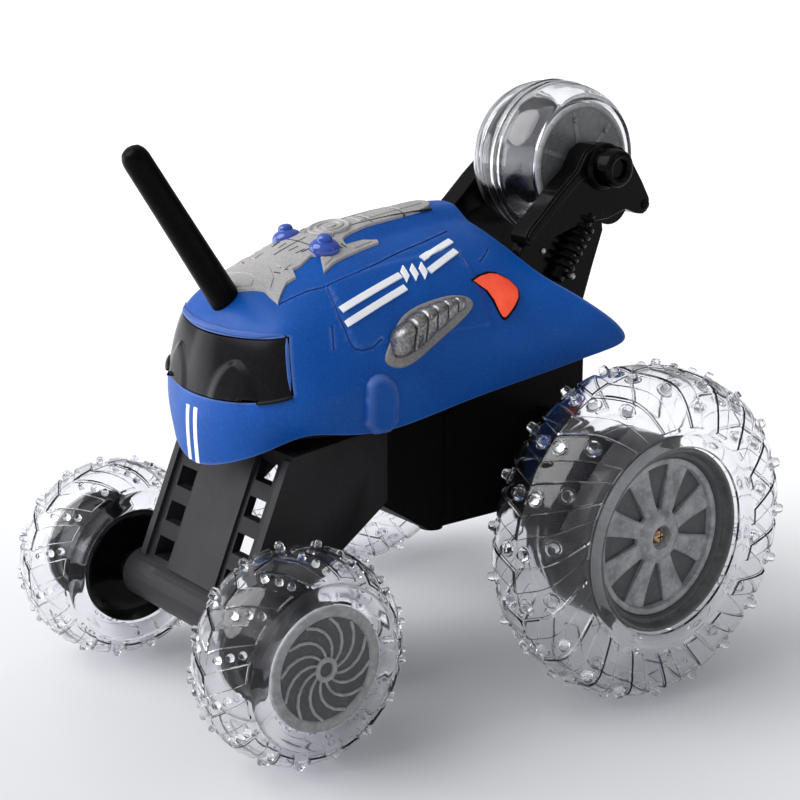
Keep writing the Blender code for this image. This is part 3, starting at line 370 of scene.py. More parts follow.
def block(bm, low, high, place=None):
    """A box between two corners, moved by a matrix."""
    (x0, y0, z0), (x1, y1, z1) = low, high
    made = slab(bm, [(x0, y0, z0), (x1, y0, z0), (x1, y1, z0), (x0, y1, z0)], (0, 0, z1 - z0))
    if place:
        verts = list({vert for face in made for vert in face.verts})
        bmesh.ops.transform(bm, matrix=place, verts=verts)


def bridge(bm, rings, mat=0):
    """A capped solid skinned over equal rings of verts."""
    made = [bm.faces.new([a[k], a[(k + 1) % len(a)], b[(k + 1) % len(a)], b[k]])
            for a, b in zip(rings, rings[1:]) for k in range(len(a))]
    made += [bm.faces.new(rings[0][::-1]), bm.faces.new(rings[-1])]
    finished(bm, made, mat)


def tube(bm, path, radius, sides):
    """A round wire along a path of points."""
    rings, normal = [], None
    for index, spot in enumerate(path):
        ahead = (path[min(index + 1, len(path) - 1)] - path[max(index - 1, 0)]).normalized()
        normal = normal or ahead.orthogonal()
        normal = (normal - ahead * normal.dot(ahead)).normalized()
        across = ahead.cross(normal)
        turns = [2 * pi * k / sides for k in range(sides)]
        rings.append([bm.verts.new(spot + radius * (normal * cos(turn) + across * sin(turn)))
                      for turn in turns])
    bridge(bm, rings)


# ---------------------------------------------------------------- tyres

# Half outlines of the tyres from the middle of the tread to the bead:
# (offset from the middle, radius, share of the lug height, sweep of the chevron in degrees)
REAR_HALF = ((0, 53.5, 0.35, 0), (0.35, 53.45, 1, -0.2), (3.2, 53.2, 1, -1.4), (6.4, 52.9, 1, -2.7),
             (9.4, 52.4, 1, -3.9), (11.8, 51.6, 1, -5.2), (13.4, 50.3, 1, -6.4),
             (14.5, 48.4, 1, -7.7), (15.1, 45.8, 1, -9.4), (15.4, 42.6, 1, -11.5),
             (15.5, 39.6, 1, -13.6), (15.5, 37.8, 1, -15), (15.45, 37.1, 0, -15.4),
             (15.3, 36.3, 0, -15.4), (15.2, 35.5, 0, -15.4), (15.35, 35.1, 0, -15.4),
             (15.5, 34.4, 0, -15.4), (15.5, 33.4, 0, -15.4), (15.4, 32.2, 0, -15.4),
             (15.1, 31.3, 0, -15.4), (14.5, 30.9, 0, -15.4))
FRONT_HALF = (
    (0, 33, 0.35, 0), (0.3, 32.98, 1, -0.3), (3.2, 32.8, 1, -3.4), (6.2, 32.3, 1, -6.3),
    (9, 31.5, 1, -8.9), (11.3, 30.2, 1, -11.4), (12.8, 28.9, 1, -13.5), (13.5, 27.9, 1, -15),
    (13.75, 27.3, 0, -15.6), (13.9, 26.8, 0, -16), (14, 26.4, 0, -16), (14.5, 26, 0, -16),
    (14.9, 25.2, 0, -16), (15, 24, 0, -16), (15, 22.4, 0, -16), (14.8, 21, 0, -16),
    (14.2, 20.1, 0, -16),
)
BEAD_ROWS = 6
REAR_TYRE_SHIFT = 4
REAR_TREAD = {"half": REAR_HALF, "lugs": 19, "lug_share": 0.475, "phase": 11.5,
              "stud_offsets": (3.8, 13.2), "lug_height": 0.8, "wall": 0.8}
REAR_STUDS = {"foot": 2.8, "top": 1.5, "height": 2.75, "sides": 16, "ring": True}
FRONT_TREAD = {"half": FRONT_HALF, "lugs": 15, "lug_share": 0.55, "phase": 8.4,
               "stud_offsets": (5.4, 9.3, 12.1), "lug_height": 0.75, "wall": 0.7}
FRONT_STUDS = {"foot": 1.3, "top": 1, "height": 2, "sides": 12, "ring": False}


def stud(bm, centre, out, foot, top, height, sides, ring):
    """One moulded stud standing on the tread: a low ring base and a round-topped post."""
    profile = [(0, 0.03), (foot, 0.03), (foot, 0.25)]
    if ring:
        profile += [(foot - 0.35, 0.5), (foot - 0.7, 0.35), (top + 0.35, 0.3)]
    profile += [(top + 0.12, height * 0.45), (top, height * 0.75), (top * 0.72, height * 0.94),
                (0, height)]
    lathe(bm, profile, aimed(centre, out), LEFT, sides)


def tyre(centre, studs, half, lugs, lug_share, phase, stud_offsets, lug_height, wall):
    """Hollow clear tyre with raised chevron lugs, and rows of studs in the gaps between them."""
    full = [(-along, *rest) for along, *rest in reversed(half[1:])] + list(half)
    fractions = [0, 0.035] + [lug_share * k for k in (0.25, 0.5, 0.75)] + [lug_share - 0.035,
                                                                           lug_share]
    fractions += [lug_share + (1 - lug_share) * k for k in (0.35, 0.7)]
    raised = (0, 1, 1, 1, 1, 1, 0, 0, 0)
    bm = bmesh.new()

    def spot(along, reach, angle):
        return Vector(centre) + Vector((along, 0, 0)) + across_x(reach, angle)

    grid, inner = [], []
    for index, (along, reach, share, sweep) in enumerate(full):
        before, after = full[max(index - 1, 0)], full[min(index + 1, len(full) - 1)]
        normal = Vector((before[1] - after[1], after[0] - before[0])).normalized()
        hollow = BEAD_ROWS <= index < len(full) - BEAD_ROWS
        ring, lining = [], []
        for lug in range(lugs):
            for fraction, up in zip(fractions, raised):
                angle = 2 * pi * (lug + fraction) / lugs + radians(sweep + phase)
                lift = lug_height * share * up
                ring.append(spot(along + normal.x * lift, reach + normal.y * lift, angle))
                if hollow:
                    lift -= wall
                    lining.append(spot(along + normal.x * lift, reach + normal.y * lift, angle))
        grid.append([bm.verts.new(place) for place in ring])
        if hollow:
            inner.append([bm.verts.new(place) for place in lining])
    loops = grid + inner[::-1]
    for ring, after in zip(loops, loops[1:] + loops[:1]):
        for step in range(len(ring)):
            follow = (step + 1) % len(ring)
            bm.faces.new([ring[step], after[step], after[follow], ring[follow]])
    bmesh.ops.recalc_face_normals(bm, faces=bm.faces)
    for lug in range(lugs):
        for offset in (sign * offset for offset in stud_offsets for sign in (1, -1)):
            index = next(k for k in range(len(full) - 1) if full[k + 1][0] >= offset)
            (a0, r0, _, t0), (a1, r1, _, t1) = full[index], full[index + 1]
            share = (offset - a0) / (a1 - a0)
            angle = 2 * pi * (lug + (1 + lug_share) / 2) / lugs
            angle += radians(t0 + (t1 - t0) * share + phase)
            out = (across_x(1, angle) - Vector(((r1 - r0) / (a1 - a0), 0, 0))).normalized()
            stud(bm, spot(offset, r0 + (r1 - r0) * share, angle), out, **studs)
    return bm


def clear_tyre(node, body, centre, studs, tread):
    """A tyre's piece, with the edge loop in the middle of its tread kept sharp."""
    obj = piece("clear_" + node, tyre(centre, studs, **tread), [TYRE], body, [node],
                28)
    for edge in obj.data.edges:
        if all(abs(obj.data.vertices[index].co.x / MM - centre.x) < 0.01
               for index in edge.vertices):
            edge.use_edge_sharp = True


# ---------------------------------------------------------------- wheels

DISH_SPOKES, CAP_RIBS, DRUM_WINDOWS, FIFTH_SPOKES = 8, 12, 4, 6
# Distances from the axis at which a cap's or a dish's faces change colour
DISH_RIM_FROM = 27.2
CAP_RIM_FROM, CAP_HUB = 16.2, (2.2, 3.95)
FIFTH_RIM_FROM = 18.85
# Distances from the car's middle
SCREW_FACE, CAP_FACE, FIFTH_CAP_FACE = 88.4, 68.85, 14.2


def rear_wheel(side, word):
    body = "rear_wheel_" + word
    node = "rear_tyre_" + word
    centre = middle_of(node)
    clear_tyre(node, body, centre + Vector((side * REAR_TYRE_SHIFT, 0, 0)), REAR_STUDS, REAR_TREAD)
    axis = Vector((0, centre.y, centre.z))
    bm = bmesh.new()
    drum = [(2.8, 59), (6, 59), (6, 78), (25.5, 78), (25.5, 60.5), (26.5, 59.4), (29.4, 58.8),
            (30.2, 59.4), (30.4, 61), (30.4, 66.6), (31.2, 67.4), (31.6, 69), (31.6, 84.6),
            (31.2, 85.8), (30.6, 86.6), (29.6, 86.6), (27.4, 84.7), (25.5, 84.7), (25.5, 80),
            (6, 80), (6, 83), (2.8, 83)]
    lathe(bm, drum, axis, side)
    piece("drum_rear_" + word, bm, [GLOSS_BLACK], body, ["rear_drum_" + word])

    bm = bmesh.new()
    plate = [(1.6, 85), (27, 85), (30.2, 88), (30.5, 88.6), (30.5, 92.3), (30, 92.9), (29.3, 92.9),
             (28.9, 92.3), (28.6, 90.6), (28.1, 90), (27, 89.9), (26.6, 89.2), (26.3, 87.9),
             (25.6, 87.5), (24.9, 87.5), (24.3, 87), (23.9, 85.9), (1.6, 85.9)]
    for face in lathe(bm, plate, axis, side):
        face.material_index = 2 if reach_of(face, axis) > DISH_RIM_FROM else 0
    ring = [(24.4, 85.95), (26.2, 87.95), (25.9, 88.4), (25, 88.5), (24.2, 88.2), (23.9, 87.2),
            (23.9, 85.95)]
    lathe(bm, ring, axis, side, mat=1)
    hub = [(2.6, 85.95), (8.9, 85.95), (9.4, 86.5), (9.2, 87.6), (8.2, 88.6), (6.6, 89.4),
           (5, 89.6), (4, 89.3), (3.6, 88.4), (3.4, 86.9), (2.6, 86.9)]
    lathe(bm, hub, axis, side, mat=1)
    for spoke in range(DISH_SPOKES):
        rear_spoke(bm, axis, side, 2 * pi * (spoke + 0.5) / DISH_SPOKES)
    piece("dish_rear_" + word, bm, [GREY_DARK, GREY, GREY_MID], body,
          ["rear_dish_" + word])

    bm = bmesh.new()
    pan = [(0, 76.5), (1, 77), (1.3, 78), (1.3, 86.9), (2.3, 86.9), (2.35, 87.6), (1.9, 88.3),
           (1.2, 88.65), (0, 88.75)]
    lathe(bm, pan, axis, side, 40)
    head = piece("screw_rear_" + word, bm, [BRASS], body, ["rear_screw_" + word])
    cross = bmesh.new()
    for wide, tall in ((1.25, 0.28), (0.28, 1.25)):
        block(cross, (side * SCREW_FACE - 0.9, centre.y - wide, centre.z - tall),
              (side * SCREW_FACE + 0.9, centre.y + wide, centre.z + tall))
    carve(head, cross)


def rear_spoke(bm, axis, side, angle):
    """One spoke of the rear dish, widening steadily from the hub to the rim."""
    stations = [(8.4, 2.7, 88.2), (10.5, 2.75, 88), (13.5, 3, 87.7), (17, 3.45, 87.4),
                (20.5, 4, 87.2), (23, 4.5, 87.1), (24.4, 4.8, 87.1)]
    section = ((-1, 1.9), (-1, 0.45), (-0.8, 0), (-0.3, 0.22), (0.3, 0.22), (0.8, 0), (1, 0.45),
               (1, 1.9))
    rings = []
    for reach, wide, top in stations:
        ring = []
        for share, drop in section:
            spot = axis + across_x(sqrt(max(reach ** 2 - (wide * share) ** 2, 0)), angle)
            spot += across_x(wide * share, angle + pi / 2) + Vector((side * (top - drop), 0, 0))
            ring.append(bm.verts.new(spot))
        rings.append(ring)
    bridge(bm, rings, 1)


def front_wheel(side, word):
    body = "front_wheel_" + word
    node = "front_tyre_" + word
    centre = middle_of(node)
    clear_tyre(node, body, centre, FRONT_STUDS, FRONT_TREAD)
    axis = Vector((0, centre.y, centre.z))
    bm = bmesh.new()
    drum = [
        (2.3, 40.5), (6, 40.5), (6, 42.2), (8, 42.5), (16, 42.5), (19, 41), (19.6, 41.4),
        (19.6, 43.6), (18.5, 44.8), (18, 45.8), (18, 67.4), (16.4, 67.4), (16.4, 44), (5, 44),
        (5, 63), (2.3, 63),
    ]
    lathe(bm, drum, axis, side)
    shell = piece("drum_front_" + word, bm, [GLOSS_BLACK], body,
                  ["front_drum_" + word])
    cutter = bmesh.new()
    for window in range(DRUM_WINDOWS):
        turn = Matrix.Rotation(2 * pi * window / DRUM_WINDOWS + radians(5), 4, "X")
        place = Matrix.Translation(axis) @ turn
        block(cutter, (side * 55 - 6, 12, -3.5), (side * 55 + 6, 22, 3.5), place)
    carve(shell, cutter)

    bm = bmesh.new()
    cap = [(0, 67.8), (19.4, 67.8), (19.6, 68.1), (19.6, 69.2), (19.3, 69.6), (18.6, 69.7),
           (17.2, 69.6), (16.5, 69.45), (16.1, 68.9), (3.9, 68.9), (3.9, 69.5), (3.5, 69.75),
           (2.6, 69.75), (2.3, 69.5), (2.2, 68.9), (0, 68.8)]
    for face in lathe(bm, cap, axis, side):
        reach = reach_of(face, axis)
        face.material_index = int(reach > CAP_RIM_FROM or CAP_HUB[0] < reach < CAP_HUB[1])
    for rib in range(CAP_RIBS):
        swirl(bm, axis, side, 2 * pi * rib / CAP_RIBS)
    piece("cap_front_" + word, bm, [GREY_DARK, GREY_PALE], body, ["front_cap_" + word])


def swirl(bm, axis, side, start):
    """One raised curved rib of a front hub cap, widening towards its rim."""
    path = [(3.7, 0), (5.2, 5), (7.2, 12), (9.4, 21), (11.6, 31), (13.8, 42), (16.2, 55)]
    section = ((-1, 0), (-0.8, 0.5), (0, 0.66), (0.8, 0.5), (1, 0))
    spots = [across_x(reach, start + side * radians(sweep)) for reach, sweep in path]
    rings = []
    for index, spot in enumerate(spots):
        ahead = (spots[min(index + 1, len(path) - 1)] - spots[max(index - 1, 0)]).normalized()
        across = Vector((1, 0, 0)).cross(ahead) * (0.42 + 0.02 * index)
        middle = axis + spot
        rings.append([bm.verts.new(middle + across * share + Vector((side * (CAP_FACE + up), 0, 0)))
                      for share, up in section])
    bridge(bm, rings, 1)


def mirrored(half):
    """A turned outline's half, followed back by its mirror image."""
    return half + [(reach, -along) for reach, along in reversed(half)]


def fifth_wheel():
    body = "fifth_wheel"
    low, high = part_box("fifth_tyre")
    half, _, radius = (high - low) / MM / 2
    axis = Vector((0, FIFTH.y, FIFTH.z))
    outer = [(20.9, 13.6), (21.6, 14.9), (22.6, half - 0.1), (23.4, half - 0.2), (24, half - 0.9),
             (24.9, 13.2), (25.8, 10.8), (26.5, 8), (26.9, 5), (27, 2.6), (27.15, 2.2),
             (radius, 1.95), (radius, 1.5), (27.1, 1.2)]
    inner = [(26.2, 4), (25.8, 7.8), (25.1, 10.6), (24, 13), (22.6, 14.3), (21.9, 13.2),
             (21.4, 12.4)]
    inner = [(reach, -along) for reach, along in reversed(inner)] + [(26.3, 0)] + inner
    bm = bmesh.new()
    lathe(bm, mirrored(outer) + inner, axis, LEFT, 160)
    piece("clear_fifth_tyre", bm, [TYRE_SOFT], body, ["fifth_tyre"], 60)

    bm = bmesh.new()
    rim_half = [(2.3, 13), (5, 13), (5, 1.5), (15.5, 1.5), (15.5, 11.4), (16.4, 12.6), (17.6, 13),
                (20.2, 13), (20.7, 12.6), (20.7, 11.8), (20, 11.2), (18, 10.6), (17.2, 9.6),
                (17, 8), (17, 2)]
    lathe(bm, mirrored(rim_half), axis)
    piece("drum_fifth", bm, [DRUM_BLACK], body, ["fifth_drum"], 40)

    for side, word in SIDES:
        bm = bmesh.new()
        cap = [(2.3, 13.4), (20.3, 13.4), (20.7, 13.8), (20.7, 15), (20.3, 15.45), (19.6, 15.5),
               (19.1, 15.1), (18.9, 14.6), (18.3, 14.35), (6.6, 14.2), (6.3, 14.5), (6, 15.1),
               (5.4, 15.45), (2.3, 15.45)]
        for face in lathe(bm, cap, axis, side):
            face.material_index = int(reach_of(face, axis) > FIFTH_RIM_FROM)
        outwards = side * FIFTH_CAP_FACE
        pin = [(0, 0), (1, 0), (1, side * 0.7), (0.75, side * 0.95), (0, side * 0.95)]
        for spoke in range(FIFTH_SPOKES):
            turn = 2 * pi * spoke / FIFTH_SPOKES
            pin_at, web_at = (
                Matrix.Translation(axis) @ Matrix.Rotation(turn + radians(start), 4, "X")
                for start in (12, 42)
            )
            lathe(bm, pin, pin_at @ Matrix.Translation((outwards, 0, 15.2)), LEFT, 16)
            block(bm, (outwards - 0.25, 6.2, -0.8), (outwards + 0.25, 18.4, 0.8), web_at)
        bmesh.ops.recalc_face_normals(bm, faces=bm.faces)
        piece("cap_fifth_" + word, bm, [DISC_GREY, GREY_PALE], body,
              ["fifth_cap_" + word])


# ---------------------------------------------------------------- body shell surface

# Half of the shell's cage: columns from the nose to the tail, rows from the skirt to the roof
CAGE = (
    ((0, -119.5, 81), (0, -120.2, 90), (0, -120.2, 98.6), (0, -119.2, 103), (0, -117.4, 114.5),
     (0, -114.6, 125.3), (0, -111.4, 129.6), (0, -109, 132.6), (0, -106, 134)),
    ((14, -117.6, 84.4), (14.5, -118.2, 91.4), (15, -118.1, 98.8), (14.5, -117, 103.4),
     (13, -115.2, 114.6), (11, -112.4, 125), (10, -109.2, 129.8), (8, -106, 133.3),
     (0, -101, 136.6)),
    ((27, -111, 89.6), (28.3, -112, 94.6), (29, -112.3, 100.8), (27.8, -112, 105),
     (25.6, -111, 115.6), (23, -108.8, 125.7), (20.5, -105.4, 130.4), (15.5, -99.5, 136),
     (0, -94, 140.2)),
    ((35.5, -102, 96.8), (37, -103.5, 100.2), (37.4, -104, 104.6), (35.2, -106.4, 108),
     (33.4, -105.8, 117.2), (29.4, -104.4, 126.6), (27, -98.8, 131.8), (20, -92, 139),
     (0, -86, 144.2)),
    ((39.5, -92, 95.2), (41, -93, 99), (41.6, -93, 107), (41, -92.8, 111), (38.8, -92, 119.5),
     (34.5, -90.5, 129), (29.5, -88, 134.6), (21.5, -83, 141.8), (0, -77, 147.6)),
    ((42.5, -76, 93.6), (43.5, -76, 98.5), (43.6, -76, 107.5), (43, -76, 112), (40.5, -75.5, 121),
     (36, -74.5, 130.5), (30, -73, 137.6), (20.5, -70, 145), (0, -67, 150)),
    ((44, -58, 97), (44.6, -58, 101.5), (44.4, -58, 109), (43.4, -58, 114), (40.5, -57.5, 123),
     (36, -57, 132), (29.5, -56, 139.6), (19, -54.5, 147), (0, -53, 151.8)),
    ((45.5, -38, 101), (46, -38, 105), (45.5, -38, 111), (44, -38, 116), (40.5, -38, 124),
     (35.5, -38, 133), (28.5, -38, 141.2), (17.5, -38.5, 148.6), (0, -38, 152.8)),
    ((48, -14, 104.5), (48.4, -14, 107.5), (47.2, -15, 112), (44.5, -16, 117), (39.5, -17, 125),
     (34, -18, 133.5), (26.5, -20, 142), (15, -24, 149.8), (0, -27, 153.6)),
    ((49.8, 2, 107.6), (50.2, 2.5, 110.5), (48.6, -1, 115), (45.5, -5, 119.5), (39.6, -8, 126.3),
     (32.8, -10.5, 133.4), (25.2, -14, 141.5), (13.6, -19.5, 149.8), (0, -23.5, 153.5)),
    ((51.6, 16.5, 109.8), (51.9, 19, 112.8), (50.4, 14.5, 118.2), (47, 9, 123), (40.5, 3, 128.3),
     (31.5, -3, 133), (23.5, -8.5, 140.5), (12, -16, 149.5), (0, -20, 153.4)),
)
WINDOW_COLUMNS, WINDOW_ROWS = range(0, 3), range(3, 5)
SHELL_THICK = 1.6


def cage_mesh(level):
    """The whole smooth shell surface in metres; the windshield's faces are in material slot 1."""
    bm = bmesh.new()
    grid = {}
    for mirror in (1, -1):
        for column, points in enumerate(CAGE):
            for row, (x, y, z) in enumerate(points):
                twin = grid.get((1, column, row)) if x == 0 else None
                grid[mirror, column, row] = twin or bm.verts.new((mirror * x, REAR_Y + y, z))
        for column in range(len(CAGE) - 1):
            for row in range(len(CAGE[0]) - 1):
                corners = [grid[mirror, column, row], grid[mirror, column + 1, row],
                           grid[mirror, column + 1, row + 1], grid[mirror, column, row + 1]]
                face = bm.faces.new(corners[::mirror])
                face.material_index = int(column in WINDOW_COLUMNS and row in WINDOW_ROWS)
    cage = show("cage", bm)
    cage.data.materials.append(BLUE)
    cage.data.materials.append(SMOKE)
    smooth = cage.modifiers.new("smooth", "SUBSURF")
    smooth.levels = smooth.render_levels = level
    surface = baked(cage)
    discard(cage)
    return surface


def ease(value, start, stop):
    """Smooth rise from 0 at start to 1 at stop."""
    share = max(0, min(1, (value - start) / (stop - start)))
    return share * share * (3 - 2 * share)


def table(value, pairs):
    """Straight-line reading of a table of (key, value) pairs."""
    for (a, b), (c, d) in zip(pairs, pairs[1:]):
        if value <= c:
            return b + (d - b) * max(0, min(1, (value - a) / (c - a)))
    return pairs[-1][1]


# Height of the raised roof ridge, and its half width, along the car from the rear axle
RIDGE = ((-110, 0), (-103, 1), (-90, 1.5), (-75, 2), (-60, 2.5), (-45, 2.9), (-30, 3.2), (-22, 3.2))
RIDGE_HALF = ((-103, 22), (-80, 20), (-60, 14), (-30, 11))
# The ridge rises only above this height
RIDGE_FOOT = 125
# The raised shoulder plates: the ramps at their front, back, inner and lower edges
PLATE_FRONT, PLATE_BACK = (-85.4, -84.6), (-32.4, -31.4)
PLATE_INNER, PLATE_LOW = (23.6, 24.4), (121, 122)
PLATE_RISE = 0.5


def relief(mesh):
    """Raises the roof ridge and the shoulder plates out of the smooth cage surface."""
    offsets = []
    for vert in mesh.vertices:
        x, y, z = abs(vert.co.x) / MM, vert.co.y / MM - REAR_Y, vert.co.z / MM
        half = table(y, RIDGE_HALF)
        roof_lift = table(y, RIDGE) * (1 - ease(x, half * 0.35, half)) if z > RIDGE_FOOT else 0
        plate = PLATE_RISE * ease(y, *PLATE_FRONT) * (1 - ease(y, *PLATE_BACK))
        plate = plate * ease(x, *PLATE_INNER) * ease(z, *PLATE_LOW)
        offsets.append(Vector((0, 0, roof_lift * MM)) + vert.normal * plate * MM)
    for vert, offset in zip(mesh.vertices, offsets):
        vert.co += offset
    mesh.update()
    return mesh


SURFACE = relief(cage_mesh(4))
SKIN = BVHTree.FromPolygons([vert.co / MM for vert in SURFACE.vertices],
                            [poly.vertices for poly in SURFACE.polygons])


def on_skin(spot):
    """The nearest point of the shell's outer surface and its outward normal."""
    place, normal, _, _ = SKIN.find_nearest(Vector(spot))
    return place, normal


def car_point(side, x, y, z):
    """A point given on the left side, y from the rear axle, put on either side of the car."""
    return Vector((side * x, REAR_Y + y, z))


def trace(points, step=1.2):
    """Points along a polyline laid onto the shell surface, with their normals."""
    laid = []
    for start, stop in zip(points, points[1:]):
        count = max(1, round((stop - start).length / step))
        laid += [on_skin(start.lerp(stop, k / count)) for k in range(count)]
    laid.append(on_skin(points[-1]))
    return laid


def ribbon(bm, laid, width, height, sink=0.3, crown=0.82, taper=0):
    """A strip with rounded edges that lies on the shell along a traced path."""
    rings = []
    count = len(laid)
    section = ((-1, -sink), (-1, height * 0.55), (-crown, height), (0, height * 1.04),
               (crown, height), (1, height * 0.55), (1, -sink))
    for index, (place, normal) in enumerate(laid):
        ahead = laid[min(index + 1, count - 1)][0] - laid[max(index - 1, 0)][0]
        across = normal.cross(ahead.normalized()).normalized()
        grow = min(1, (index + 0.6) / taper, (count - index - 0.4) / taper) if taper else 1
        ring = []
        for share, up in section:
            base, out = on_skin(place + across * width / 2 * share * grow)
            ring.append(bm.verts.new(base + out * (up * grow if up > 0 else up)))
        rings.append(ring)
    bridge(bm, rings)


def smooth_outline(outline, rounds=2):
    """Corner-cutting on a closed outline, so that its corners are round."""
    for _ in range(rounds):
        cut = []
        for (a0, b0), (a1, b1) in zip(outline, outline[1:] + outline[:1]):
            cut.append((a0 * 0.75 + a1 * 0.25, b0 * 0.75 + b1 * 0.25))
            cut.append((a0 * 0.25 + a1 * 0.75, b0 * 0.25 + b1 * 0.75))
        outline = cut
    return outline


def side_axes(normal):
    """Chart directions on the body side: out, towards the tail, and up."""
    out = Vector(normal).normalized()
    back = Vector((0, 1, 0))
    back = (back - out * back.dot(out)).normalized()
    up = out.cross(back)
    return out, back, up if up.z > 0 else -up


def patch(bm, spot, axes, outline, height, bevel, mat=0, sink=0.4, fine=2, dome=0):
    """A raised plate with rounded edges: an outline in a chart, laid onto the shell."""
    out, back, up = axes
    work = bmesh.new()
    face = work.faces.new([work.verts.new((a, b, 0)) for a, b in outline])
    face.normal_update()
    if face.normal.z < 0:
        face.normal_flip()
    for share in (0.35, 0.65):
        bmesh.ops.inset_region(work, faces=[face], thickness=bevel * share, use_boundary=True,
                               use_even_offset=True)
    inner = max(work.faces, key=lambda item: item.calc_area())
    bmesh.ops.triangulate(work, faces=[inner])
    for _ in range(6):
        inside = [edge for edge in work.edges if not edge.is_boundary]
        long_edges = [edge for edge in inside if edge.calc_length() > fine]
        if not long_edges:
            break
        bmesh.ops.subdivide_edges(work, edges=long_edges, cuts=1)
        bmesh.ops.triangulate(work, faces=[item for item in work.faces if len(item.verts) > 4])
    rim = [edge for edge in work.edges if edge.is_boundary]
    segments = [(edge.verts[0].co.copy(), edge.verts[1].co.copy()) for edge in rim]
    middle = sum((vert.co for vert in work.verts), Vector()) / len(work.verts)
    reach = max((vert.co - middle).length for vert in work.verts)
    heights = {}
    for vert in work.verts:
        share = min(min(distance_to(vert.co, a, b) for a, b in segments) / bevel, 1)
        lift = height * sqrt(max(0, 1 - (1 - share) ** 2))
        heights[vert] = lift + dome * share * max(0, 1 - ((vert.co - middle).length / reach) ** 2)
    for item in bmesh.ops.extrude_edge_only(work, edges=rim)["geom"]:
        if isinstance(item, bmesh.types.BMVert):
            heights[item] = -sink
    for vert in work.verts:
        place = Vector(spot) + back * vert.co.x + up * vert.co.y
        vert.co = skin_along(place, out) + out * heights[vert]
    bmesh.ops.holes_fill(work, edges=[edge for edge in work.edges if edge.is_boundary], sides=0)
    finished(work, work.faces[:], mat)
    mesh = bpy.data.meshes.new("patch")
    work.to_mesh(mesh)
    work.free()
    bm.from_mesh(mesh)
    bpy.data.meshes.remove(mesh)


def distance_to(spot, start, stop):
    """How far a point is from a line between two points."""
    line = stop - start
    share = max(0, min(1, (spot - start).dot(line) / max(line.length_squared, 1e-9)))
    return (spot - start - line * share).length


def skin_along(spot, out):
    """The shell point straight below a chart point, seen along the chart's outward direction."""
    place = SKIN.ray_cast(spot + out * 15, -out, 40)[0]
    return place if place is not None else on_skin(spot)[0]


# ---------------------------------------------------------------- body shell pieces

GROOVE_RADIUS = 0.42
STRIPE = {"width": 2.3, "height": 0.62, "crown": 0.9}
PANE_THICK = 1.4
# Two arches moulded in the pane: distance from the middle, half width, foot, height, ramp, rise
ARCH_AT, ARCH_HALF, ARCH_FOOT, ARCH_TALL, ARCH_RAMP, ARCH_RISE = 16, 11, 101, 16.5, 4.5, 0.9
# Grooves in the shell's left side
PANEL_LINES = (
    ((24.8, -84.6, 138.3), (32.9, -86.3, 130.9), (37.6, -85.7, 123.4), (38.6, -84.6, 121.4),
     (39.3, -82, 120.5), (39.5, -79, 120.9), (39, -74.8, 123)),
    ((20, -100, 134.2), (22.5, -90.8, 137.5), (24.6, -84.6, 138.5), (24.4, -72.6, 141.3),
     (22.9, -62.9, 143.3), (21, -53.4, 145.2), (18.9, -42, 146.6), (16, -30, 148.6)),
    ((24, -32.2, 143.8), (29.8, -33.4, 139)),
    ((34, -89.6, 128.6), (37, -91.3, 121.7)),
    ((24.4, -19.6, 142.6), (26.4, -22, 141.6), (28.6, -26.4, 139.7)),
)


def skin_part(glass):
    """The faces of the shell surface that are windshield, or those that aren't, in metres."""
    bm = bmesh.new()
    bm.from_mesh(SURFACE)
    others = [face for face in bm.faces if bool(face.material_index) != glass]
    bmesh.ops.delete(bm, geom=others, context="FACES")
    return bm


def thicken(obj, amount):
    """Gives a sheet a wall, inwards from its outer face."""
    thick = obj.modifiers.new("thickness", "SOLIDIFY")
    thick.thickness = amount * MM
    thick.offset = -1
    return thick


def body_shell():
    bm = skin_part(False)
    bmesh.ops.scale(bm, vec=(1 / MM, 1 / MM, 1 / MM), verts=bm.verts)
    shell = piece("shell", bm, [BLUE], CAR, ["body_shell"], 40)
    thicken(shell, SHELL_THICK).use_even_offset = True
    cutter = bmesh.new()
    for side in (LEFT, RIGHT):
        for line in PANEL_LINES:
            path = trace([car_point(side, *point) for point in line], 1.5)
            tube(cutter, [place for place, _ in path], GROOVE_RADIUS, 6)
    carve(shell, cutter)
    shell.data.set_sharp_from_angle(angle=radians(40))


